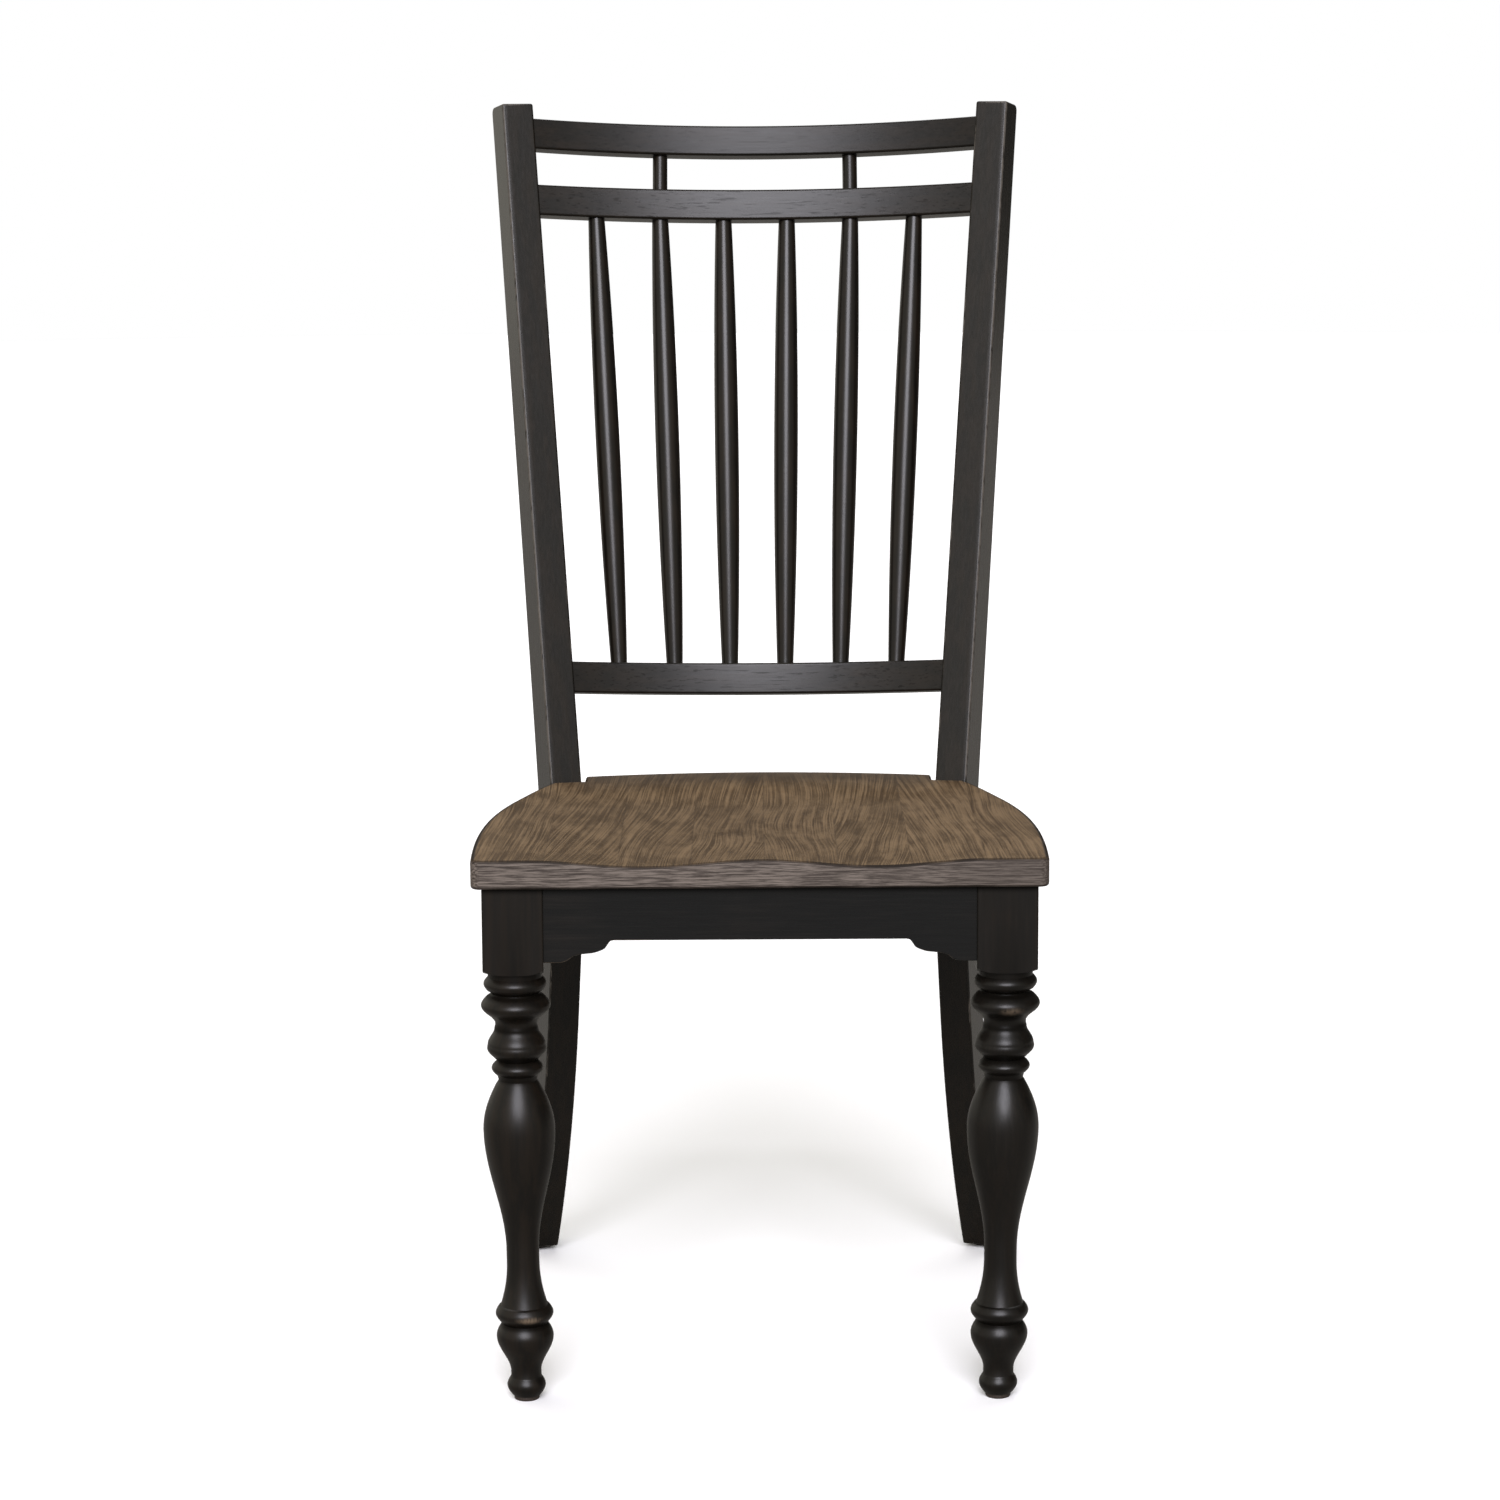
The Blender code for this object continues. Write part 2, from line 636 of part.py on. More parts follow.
def seat_half_width(depth):
    """The seat's half width at a distance behind its front edge."""
    reach = depth - SEAT_WIDEST_DEPTH
    if reach > 0:
        corner = post_point(RIGHT, 0.0, SEAT_HEIGHT, POST_WIDTH)
        share = reach / (corner.y - FRONT_Y - SEAT_WIDEST_DEPTH)
        curve = SEAT_SIDE_CURVE_SHARE * share ** 2 + (1 - SEAT_SIDE_CURVE_SHARE) * share ** 3
        return SEAT_HALF_WIDTH - (SEAT_HALF_WIDTH - corner.x) * curve
    radius = SEAT_FRONT_SWEEP_RADIUS
    half = SEAT_HALF_WIDTH - (radius - math.sqrt(radius ** 2 - reach ** 2))
    if depth < SEAT_CORNER_RADIUS:
        gap = SEAT_CORNER_RADIUS - depth
        half -= SEAT_CORNER_RADIUS - math.sqrt(SEAT_CORNER_RADIUS ** 2 - gap ** 2)
    return half


def seat_surface(x, depth):
    """The height of the saddled top."""
    if abs(x) < SADDLE_HALF_WIDTH:
        share = abs(x) / SADDLE_HALF_WIDTH
        thighs = THIGH_DIP * math.sin(math.pi * share) ** 2
        dish = DISH_DIP * math.cos(math.pi * share / 2) ** 2
    else:
        thighs = dish = 0.0
    blend = smooth_step(depth, DISH_START_DEPTH, DISH_FULL_DEPTH)
    fade = 1 - smooth_step(depth, DISH_FADE_DEPTH, DISH_END_DEPTH)
    rim = REAR_RIM_RISE * (1 - fade)
    return SEAT_HEIGHT - (thighs * (1 - blend) + dish * blend) * fade + rim


def seat_rear_edge(x):
    """The bowed rear edge between the posts."""
    return SEAT_DEPTH_AT_POSTS + SEAT_REAR_BOW * (1 - (x / POST_HALF_GAP) ** 2)


def tongue_gap(side):
    """The room between a post and the tongue of the seat that runs straight back beside it."""
    front_inner = post_point(side, 0.0, SEAT_HEIGHT, -SEAT_TONGUE_GAP / math.cos(TURN))
    front_outer = post_point(side, 0.0, SEAT_HEIGHT, POST_WIDTH / 2)
    rear_outer = post_point(side, POST_KNEE_DEPTH, SEAT_HEIGHT, POST_WIDTH / 2)
    rear_inner = Vector((front_inner.x, rear_outer.y, SEAT_HEIGHT))
    plan = (front_inner, front_outer, rear_outer, rear_inner)
    heights = (SEAT_UNDERSIDE - CUT_OVERRUN, SEAT_HEIGHT + CUT_OVERRUN)
    rings = [[Vector((p.x, p.y, z)) for p in plan] for z in heights]
    return lofted("tongue_gap_" + SIDE_NAMES[side], rings)


def eased_spread(count, length, ease, corner=0.0):
    """Even stations from 0 to a length, with eased ends and a finer start on a corner."""
    inner = [corner + (length - ease - corner) * i / count for i in range(1, count)]
    start = [0.0, ease] + ([corner] if corner > ease else [])
    return start + inner + [length - ease, length]


def make_seat(cutters):
    """The solid wood seat, saddled on top and notched round the posts."""
    ease = SEAT_EDGE_EASE
    width = 2 * SEAT_HALF_WIDTH
    columns = [2 * x / width - 1 for x in eased_spread(SEAT_COLUMN_COUNT, width, ease)]
    rows = eased_spread(SEAT_ROW_COUNT, SEAT_DEPTH_AT_POSTS, ease, SEAT_CORNER_RADIUS)
    data = bmesh.new()
    sheets = []
    for is_top in (True, False):
        sheet = []
        for j, depth in enumerate(rows):
            line = []
            for i, column in enumerate(columns):
                x = column * seat_half_width(depth)
                share = smooth_step(depth, DISH_FADE_DEPTH, SEAT_DEPTH_AT_POSTS)
                bowed = max(seat_rear_edge(x) - SEAT_DEPTH_AT_POSTS, 0.0) * share
                edge = ease if i in (0, len(columns) - 1) or j in (0, len(rows) - 1) else 0.0
                z = seat_surface(x, depth) - edge if is_top else SEAT_UNDERSIDE + edge
                line.append(data.verts.new((x, FRONT_Y + depth + bowed, z)))
            sheet.append(line)
        sheets.append(sheet)
    last_row, last_column = len(rows) - 1, len(columns) - 1
    for sheet in sheets:
        for j in range(last_row):
            for i in range(last_column):
                data.faces.new((sheet[j][i], sheet[j][i + 1], sheet[j + 1][i + 1], sheet[j + 1][i]))
    rim = [(0, i) for i in range(last_column)] + [(j, last_column) for j in range(last_row)]
    rim += [(last_row, last_column - i) for i in range(last_column)]
    rim += [(last_row - j, 0) for j in range(last_row)]
    for (j, i), (q, p) in zip(rim, rim[1:] + rim[:1]):
        data.faces.new((sheets[0][j][i], sheets[0][q][p], sheets[1][q][p], sheets[1][j][i]))
    seat = add_object("seat", data)
    for side in (LEFT, RIGHT):
        combine(seat, cutters[side], "DIFFERENCE")
        combine(seat, tongue_gap(side), "DIFFERENCE")
    brown(seat)
    return seat


def apron_axes(direction):
    """Along an apron, across its thickness and up."""
    along = direction.normalized()
    up = Vector((0, 0, 1))
    return along, up.cross(along), up


def apron_tenon(name, shoulder, direction, grow):
    """A tenon that runs on from an apron's shoulder, or its mortise when grown."""
    length = APRON_TENON_LENGTH + JOINT_LAP + grow
    centre = shoulder + direction * (APRON_TENON_LENGTH + grow - length / 2)
    sizes = (length, APRON_TENON_THICKNESS + 2 * grow, APRON_TENON_HEIGHT + 2 * grow)
    return box_in_axes(name, centre, apron_axes(direction), sizes)


def join_with_tenon(apron, holder, label, shoulder, direction):
    """Put a tenon on an apron and its mortise in what holds it."""
    combine(apron, apron_tenon(label + "_tenon", shoulder, direction, 0.0), "UNION")
    mortise = apron_tenon(label + "_mortise", shoulder, direction, CLEARANCE)
    combine(holder, mortise, "DIFFERENCE")


def apron_middle_height():
    """The height of the aprons' middle, where their tenons lie."""
    return FRAME_TOP - APRON_HEIGHT / 2


def make_front_apron(legs):
    """The front apron, with a shaped bracket at each end."""
    half = LEG_BLOCK_HALF_SPAN - LEG_BLOCK_SIZE / 2 - CLEARANCE
    front = FRONT_Y + LEG_BLOCK_SETBACK + APRON_SETBACK
    bottom = FRAME_TOP - APRON_HEIGHT
    bracket = [(half - BRACKET_REACH * r, bottom - BRACKET_DROP * d) for r, d in BRACKET_SHARES]
    end = bracket + [(half, bottom - BRACKET_DROP), (half, FRAME_TOP)]
    mirrored = [(-x, z) for x, z in reversed(end)]
    outline = end + mirrored
    rings = [[Vector((x, y, z)) for x, z in outline] for y in (front, front + APRON_THICKNESS)]
    apron = lofted("front_apron", rings)
    middle = front + APRON_THICKNESS / 2
    for side in (LEFT, RIGHT):
        shoulder = Vector((side * (half + CLEARANCE), middle, apron_middle_height()))
        label = "front_apron_" + SIDE_NAMES[side]
        join_with_tenon(apron, legs[side], label, shoulder, Vector((side, 0, 0)))
    black(apron)
    return apron


def side_apron_ends(side):
    """Where the middle of a side apron meets the leg block and the post."""
    height = apron_middle_height()
    front = FRONT_Y + LEG_BLOCK_SETBACK + LEG_BLOCK_SIZE
    start = Vector((side * (LEG_BLOCK_HALF_SPAN + SIDE_APRON_OUTSET), front, height))
    end = post_point(side, post_front_back_at(height), height, POST_WIDTH / 2)
    return start, end


def post_front_back_at(height):
    """How far back the post's front edge lies at a height."""
    line = post_front_line()
    for low, high in zip(line, line[1:]):
        if low.y <= height <= high.y:
            return low.x + (high.x - low.x) * (height - low.y) / (high.y - low.y)
    return 0.0


def make_side_apron(side, legs, posts, cutters):
    """A side apron from a front leg's block to a rear post."""
    name = "side_apron_" + SIDE_NAMES[side]
    start, end = side_apron_ends(side)
    along, across, up = apron_axes(end - start)
    half = across * (APRON_THICKNESS / 2)
    rise = up * (APRON_HEIGHT / 2)
    slant = along.x / along.y
    inner_corner = post_point(side, post_front_back_at(start.z), start.z)
    rings = []
    for y in (start.y + CLEARANCE, inner_corner.y - CLEARANCE):
        ring = []
        for a, b in ((-1, -1), (1, -1), (1, 1), (-1, 1)):
            point = start + half * a + rise * b
            ring.append(Vector((point.x + slant * (y - point.y), y, point.z)))
        rings.append(ring)
    apron = lofted(name, rings)
    combine(apron, cutters[side], "DIFFERENCE")
    join_with_tenon(apron, legs[side], name + "_front", start, -along)
    join_with_tenon(apron, posts[side], name + "_rear", end, along)
    black(apron)
    return apron


def rear_apron_depth():
    """The middle of the rear apron, behind the seat's front edge."""
    height = apron_middle_height()
    return POST_SETBACK + post_front_back_at(height) * math.cos(TURN) + REAR_APRON_DEPTH_IN_POST


def make_rear_apron(posts, cutters):
    """The straight rear apron between the posts."""
    depth = rear_apron_depth()
    reach = POST_HALF_GAP + (depth - POST_SETBACK) * math.tan(TURN)
    long_reach = reach + POST_WIDTH / 2
    centre = Vector((0, FRONT_Y + depth, apron_middle_height()))
    axes = (Vector((1, 0, 0)), Vector((0, 1, 0)), Vector((0, 0, 1)))
    sizes = (2 * long_reach, REAR_APRON_THICKNESS, APRON_HEIGHT)
    apron = box_in_axes("rear_apron", centre, axes, sizes)
    for side in (LEFT, RIGHT):
        combine(apron, cutters[side], "DIFFERENCE")
    for side in (LEFT, RIGHT):
        shoulder = centre + Vector((side * reach, 0, 0))
        label = "rear_apron_" + SIDE_NAMES[side]
        join_with_tenon(apron, posts[side], label, shoulder, Vector((side, 0, 0)))
    black(apron)
    return apron


def corner_block_outline(side, is_front):
    """The plan of a corner block: a brace across the corner of two aprons."""
    start, end = side_apron_ends(side)
    along = (end - start).normalized()
    inward = Vector((-side * along.y, side * along.x, 0))
    face_point = start + inward * (APRON_THICKNESS / 2 + CLEARANCE)
    if is_front:
        y = FRONT_Y + LEG_BLOCK_SETBACK + APRON_SETBACK + APRON_THICKNESS + CLEARANCE
        near, far = CORNER_BLOCK_FRONT_NEAR, CORNER_BLOCK_FRONT_FAR
        run = along
    else:
        y = FRONT_Y + rear_apron_depth() - REAR_APRON_THICKNESS / 2 - CLEARANCE
        near, far = CORNER_BLOCK_REAR_NEAR, CORNER_BLOCK_REAR_FAR
        run = -along
    corner = face_point + along * ((y - face_point.y) / along.y)
    cross = Vector((-side, 0, 0))
    return [corner + cross * near, corner + cross * far, corner + run * far, corner + run * near]


def make_corner(side, is_front, seat):
    """A corner block and the screw that goes up through it into the seat."""
    label = ("front_" if is_front else "rear_") + SIDE_NAMES[side]
    outline = corner_block_outline(side, is_front)
    bottom = FRAME_TOP - CORNER_BLOCK_HEIGHT
    rings = [[Vector((p.x, p.y, z)) for p in outline] for z in (bottom, FRAME_TOP)]
    block = lofted("corner_block_" + label, rings)
    plain_wood(block)
    middle = sum(outline, Vector()) / len(outline)
    shank, head = SCREW_SHANK_RADIUS, SCREW_HEAD_RADIUS
    head_bottom = bottom - SCREW_HEAD_HEIGHT - CLEARANCE
    head_top = bottom - CLEARANCE
    tip = SEAT_UNDERSIDE + SCREW_GRIP
    stations = (
        (head_bottom, head), (head_top, head),
        (head_top, shank), (tip - shank, shank), (tip, shank / 2),
    )
    rings = [circle_ring(Vector((middle.x, middle.y, z)), r, ROUND_SIDE_COUNT) for z, r in stations]
    screw = lofted("seat_screw_" + label, rings)
    steel(screw)
    bore = shank + CLEARANCE
    ends = (bottom - CUT_OVERRUN, tip + CLEARANCE)
    rings = [circle_ring(Vector((middle.x, middle.y, z)), bore, ROUND_SIDE_COUNT) for z in ends]
    drill = lofted("screw_drill_" + label, rings)
    combine(block, drill, "DIFFERENCE")
    combine(seat, drill, "DIFFERENCE")


def make_glide(label, centre, radius, holder):
    """A glide with a stem driven into the foot."""
    stem_top = GLIDE_HEIGHT + GLIDE_STEM_LENGTH
    stem = GLIDE_STEM_RADIUS
    top = GLIDE_HEIGHT - CLEARANCE
    round_off = GLIDE_HEIGHT / 4
    stations = (
        (0.0, radius - round_off), (round_off, radius), (top, radius),
        (top, stem), (stem_top, stem),
    )
    rings = [circle_ring(Vector((centre.x, centre.y, z)), r, ROUND_SIDE_COUNT) for z, r in stations]
    glide = lofted("glide_" + label, rings)
    paint(glide, (0.050, 0.047, 0.042), 0.5)
    ends = (0.0, stem_top + CLEARANCE)
    bore = stem + CLEARANCE
    rings = [circle_ring(Vector((centre.x, centre.y, z)), bore, ROUND_SIDE_COUNT) for z in ends]
    combine(holder, lofted("glide_drill_" + label, rings), "DIFFERENCE")


def make_glides(legs, posts):
    """One glide under each foot."""
    fronts, rears = post_outline()
    middle = (fronts[0].x + rears[0].x) / 2
    for side in (LEFT, RIGHT):
        name = SIDE_NAMES[side]
        foot = leg_axis(side, GLIDE_HEIGHT)
        make_glide("front_" + name, foot, FRONT_GLIDE_RADIUS, legs[side])
        heel = post_point(side, middle, GLIDE_HEIGHT, POST_WIDTH / 2)
        make_glide("rear_" + name, heel, REAR_GLIDE_RADIUS, posts[side])


def main():
    """Build the chair."""
    clear_scene()
    posts = {side: make_post(side) for side in (LEFT, RIGHT)}
    legs = {side: make_front_leg(side) for side in (LEFT, RIGHT)}
    cutters = {}
    for side in (LEFT, RIGHT):
        name = "post_room_" + SIDE_NAMES[side]
        outer = POST_WIDTH + 2 * CUT_OVERRUN
        cutters[side] = post_solid(name, side, CLEARANCE, -CLEARANCE, outer)
    seat = make_seat(cutters)
    rail_sizes = {
        "crest_rail": (CREST_BOTTOM, CREST_HEIGHT, CREST_BOW),
        "upper_rail": (UPPER_RAIL_BOTTOM, UPPER_RAIL_HEIGHT, SPINDLE_RAIL_BOW),
        "lower_rail": (LOWER_RAIL_RISE, LOWER_RAIL_HEIGHT, SPINDLE_RAIL_BOW),
    }
    rails = {}
    for name, (bottom, height, bow) in rail_sizes.items():
        rails[name] = make_rail(name, bottom, height, bow, posts, cutters)
    make_spindles(rails)
    make_front_apron(legs)
    for side in (LEFT, RIGHT):
        make_side_apron(side, legs, posts, cutters)
    make_rear_apron(posts, cutters)
    for is_front in (True, False):
        for side in (LEFT, RIGHT):
            make_corner(side, is_front, seat)
    make_glides(legs, posts)


main()
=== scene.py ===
"""Looks of a spindle back dining chair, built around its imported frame.

Metres, +Z up. The chair faces -Y, and left and right are as seen from the front. Each piece
has its place in its own mesh and stands for one node of the frame.
"""

from __future__ import annotations

import logging
import math
from collections.abc import Callable, Iterable, Sequence
from dataclasses import dataclass, field
from enum import Enum

import bmesh
import bpy
from mathutils import Matrix, Vector


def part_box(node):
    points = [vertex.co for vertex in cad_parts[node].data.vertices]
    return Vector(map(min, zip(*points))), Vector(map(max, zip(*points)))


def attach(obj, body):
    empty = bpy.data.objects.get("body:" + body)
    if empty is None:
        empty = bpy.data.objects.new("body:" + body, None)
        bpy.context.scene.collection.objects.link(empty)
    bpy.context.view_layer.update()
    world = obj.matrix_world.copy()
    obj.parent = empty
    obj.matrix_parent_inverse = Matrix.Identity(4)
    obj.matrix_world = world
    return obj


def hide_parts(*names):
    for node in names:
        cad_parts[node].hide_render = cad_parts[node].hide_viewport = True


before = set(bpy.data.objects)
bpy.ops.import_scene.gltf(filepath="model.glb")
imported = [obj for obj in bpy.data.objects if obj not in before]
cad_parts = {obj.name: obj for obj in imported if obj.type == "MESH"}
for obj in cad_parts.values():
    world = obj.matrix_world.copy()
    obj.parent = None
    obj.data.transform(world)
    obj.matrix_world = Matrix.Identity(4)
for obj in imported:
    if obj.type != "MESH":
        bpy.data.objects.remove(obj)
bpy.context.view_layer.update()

LOG = logging.getLogger("chair")
BODY = "root"
AXIS_X = Vector((1, 0, 0))
AXIS_Y = Vector((0, 1, 0))
AXIS_Z = Vector((0, 0, 1))
MERGE_DISTANCE = 1e-7
ROUND_PROFILE = 0.5
LEAST_ARRIS_ANGLE = math.radians(40)
LEAST_CREASE_ANGLE = math.radians(42)

Colour = tuple[float, float, float]
Range = tuple[float, float]
Relief = tuple[float, float]
Triple = tuple[float, float, float]
Socket = bpy.types.NodeSocket


class Side(Enum):
    """The viewer's left or right, by its sign along X."""

    LEFT = -1
    RIGHT = 1

    @property
    def label(self) -> str:
        """The side's word in a node's name."""
        return self.name.lower()


class Grain(Enum):
    """The way a piece's grain runs, as how much each axis packs the pattern."""

    CROSSWISE = (0.045, 1.0, 1.0)
    LENGTHWISE = (1.0, 0.045, 1.0)
    UPRIGHT = (1.0, 1.0, 0.045)


class Form(Enum):
    """A cut of the turner's, with the number of steps that draw it."""

    STRAIGHT = 1
    BEAD = 14
    COVE = 8
    EASE = 18
    SWELL = 16
    FLARE = 10


class Mark(Enum):
    """What the points of a mesh tell the finish, by the name of their attribute."""

    BOARD = "board"
    EDGE = "edge"
    RUB = "rub"
    # Painted shade right under the seat, and glaze with painted shade in the turnings' grooves.
    GROOVE = "groove"
    UPPER = "upper"
    RIM = "rim"


class Joining(Enum):
    """How one blank meets another, in Blender's words."""

    ADD = "UNION"
    CUT = "DIFFERENCE"


def smooth_step(value: float, low: float, high: float) -> float:
    """Blend from 0 at low to 1 at high.

    Args:
        value: The value to place between the two.
        low: Where the blend starts.
        high: Where the blend ends.

    Returns:
        The share, with a level start and end.
    """
    share = min(max((value - low) / (high - low), 0.0), 1.0)
    return share * share * (3 - 2 * share)


def filleted(before: Vector, corner: Vector, after: Vector, radius: float, steps: int) -> list[Vector]:
    """Round a corner of an outline.

    Args:
        before: A point on the line into the corner.
        corner: The corner itself.
        after: A point on the line out of the corner.
        radius: The radius of the arc.
        steps: How many steps draw the arc.

    Returns:
        The points of the arc, from the first line to the second.
    """
    to_before = (before - corner).normalized()
    to_after = (after - corner).normalized()
    half = to_before.angle(to_after) / 2
    start = corner + to_before * (radius / math.tan(half))
    centre = corner + (to_before + to_after).normalized() * (radius / math.sin(half))
    end = corner + to_after * (radius / math.tan(half))
    first, last = start - centre, end - centre
    sweep = first.angle(last)
    points = []
    for i in range(steps + 1):
        share = i / steps
        weights = math.sin((1 - share) * sweep), math.sin(share * sweep)
        points.append(centre + (first * weights[0] + last * weights[1]) / math.sin(sweep))
    return points


def curve_through(points: Sequence[Vector], steps: int) -> list[Vector]:
    """Draw a smooth curve through an outline's points.

    Args:
        points: The points that the curve passes.
        steps: How many steps run between two of them.

    Returns:
        The points of the curve, ends included.
    """
    padded = [points[0], *points, points[-1]]
    curve = []
    for before, start, end, after in zip(padded, padded[1:], padded[2:], padded[3:]):
        for i in range(steps):
            share = i / steps
            pull = (end - before) * share
            pull += (before * 2 - start * 5 + end * 4 - after) * share**2
            pull += (start * 3 - before - end * 3 + after) * share**3
            curve.append(start + pull / 2)
    return [*curve, points[-1]]


@dataclass(frozen=True)
class ChairPlan:
    """The sizes that several pieces share."""

    overall_height: float = 1.067
    seat_height: float = 0.464
    seat_thickness: float = 0.0245
    seat_half_width: float = 0.2369
    glide_height: float = 0.004
    lap: float = 0.0006
    post_half_gap: float = 0.1586
    post_width: float = 0.0288
    post_setback: float = 0.3595
    post_turn: float = math.radians(17.5)
    post_rake: float = math.radians(13.15)
    leg_slope: float = math.radians(10.8)
    block_half_span: float = 0.2018
    block_size: float = 0.0500
    block_setback: float = 0.0065
    block_bottom: float = 0.3665
    apron_height: float = 0.0441
    # How far down the painted line of shade under the seat reaches.
    shade_depth: float = 0.0065
    front_y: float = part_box("seat")[0][1]

    @property
    def frame_top(self) -> float:
        """The height of the seat's underside, where the frame below it ends."""
        return self.seat_height - self.seat_thickness

    @property
    def back_tilt(self) -> float:
        """The lean of the back's plane."""
        return math.atan(math.tan(self.post_rake) * math.cos(self.post_turn))

    @property
    def back_length(self) -> float:
        """The length of the back's plane from the seat to the top."""
        return (self.overall_height - self.seat_height) / math.cos(self.back_tilt)

    def back_matrix(self) -> Matrix:
        """The back's own frame: X across, Y square to the back, Z up along it."""
        place = Vector((0, self.front_y + self.post_setback, self.seat_height))
        return Matrix.Translation(place) @ Matrix.Rotation(-self.back_tilt, 4, "X")

    def half_span(self, back: float, rise: float) -> float:
        """Half the room between the posts at a place in the back's frame.

        Args:
            back: The distance behind the back's plane.
            rise: The distance up along it.

        Returns:
            The distance from the middle to a post's inner face.
        """
        depth = rise * math.sin(self.back_tilt) + back * math.cos(self.back_tilt)
        return self.post_half_gap + depth * math.tan(self.post_turn)

    def out_of_post(self, side: Side) -> Vector:
        """The direction out of a post's inner face, away from the middle."""
        return Vector((side.value * math.cos(self.post_turn), -math.sin(self.post_turn), 0))

    def back_of_post(self, side: Side) -> Vector:
        """The level direction back along a post's plane."""
        return Vector((side.value * math.sin(self.post_turn), math.cos(self.post_turn), 0))

    def post_point(self, side: Side, back: float, height: float, out: float = 0.0) -> Vector:
        """Find a point in a post.

        Args:
            side: The post.
            back: The distance back along the post's plane.
            height: The height above the floor.
            out: The distance out from the post's inner face.

        Returns:
            The point in the row frame.
        """
        corner = Vector((side.value * self.post_half_gap, self.front_y + self.post_setback, height))
        return corner + self.back_of_post(side) * back + self.out_of_post(side) * out

    def shade_at(self, point: Vector) -> float:
        """How much painted shade lies at a place: all right under the seat, and none elsewhere."""
        return 1.0 if point.z > self.frame_top - self.shade_depth / 2 else 0.0


PLAN = ChairPlan()


@dataclass(frozen=True)
class Noise:
    """A cloudy pattern: its clouds per metre, finer layers, their strength, and its folds."""

    scale: float
    detail: float
    rough: float
    warp: float = 0.0


class NodeWork:
    """A node tree, built a node at a time."""

    def __init__(self, tree: bpy.types.NodeTree) -> None:
        """Take the tree to add to."""
        self.tree = tree

    def feed(self, socket: Socket, value: object) -> None:
        """Link a socket to another, or set it to a plain value.

        Args:
            socket: The socket.
            value: Another node's output, or the value.
        """
        if isinstance(value, bpy.types.NodeSocket):
            self.tree.links.new(value, socket)
        else:
            socket.default_value = value

    def node(self, kind: str, sockets: dict[object, object], **settings: object) -> bpy.types.Node:
        """Add a node.

        Args:
            kind: The node's type.
            sockets: Its inputs by name or number, each a value or another node's output.
            **settings: Its own settings.

        Returns:
            The node.
        """
        made = self.tree.nodes.new(kind)
        for key, value in settings.items():
            setattr(made, key, value)
        for key, value in sockets.items():
            self.feed(made.inputs[key], value)
        return made

    def remap(self, value: Socket, low: float, high: float, to_low: float = 0.0,
              to_high: float = 1.0) -> Socket:
        """Stretch a value between two limits, with a level start and end.

        Args:
            value: The value to stretch.
            low: Where it starts to change.
            high: Where it stops changing.
            to_low: What it becomes up to low.
            to_high: What it becomes from high on.

        Returns:
            The stretched value.
        """
        sockets = {"Value": value, "From Min": low, "From Max": high, "To Min": to_low, "To Max": to_high}
        made = self.node("ShaderNodeMapRange", sockets, interpolation_type="SMOOTHSTEP")
        return made.outputs["Result"]

    def sum_of(self, kind: str, first: object, second: object = 0.0) -> Socket:
        """Combine two values by a sum named as in Blender's Math node."""
        return self.node("ShaderNodeMath", {0: first, 1: second}, operation=kind).outputs[0]

    def plus(self, first: object, second: object) -> Socket:
        """Add two values."""
        return self.sum_of("ADD", first, second)

    def minus(self, first: object, second: object) -> Socket:
        """Take the second value from the first."""
        return self.sum_of("SUBTRACT", first, second)

    def times(self, first: object, second: object) -> Socket:
        """Multiply two values."""
        return self.sum_of("MULTIPLY", first, second)

    def centred(self, value: Socket) -> Socket:
        """Shift a value that runs from 0 to 1, so that its middle is 0."""
        return self.minus(value, 0.5)

    def larger(self, first: object, second: object) -> Socket:
        """Pick the larger of two values."""
        return self.sum_of("MAXIMUM", first, second)


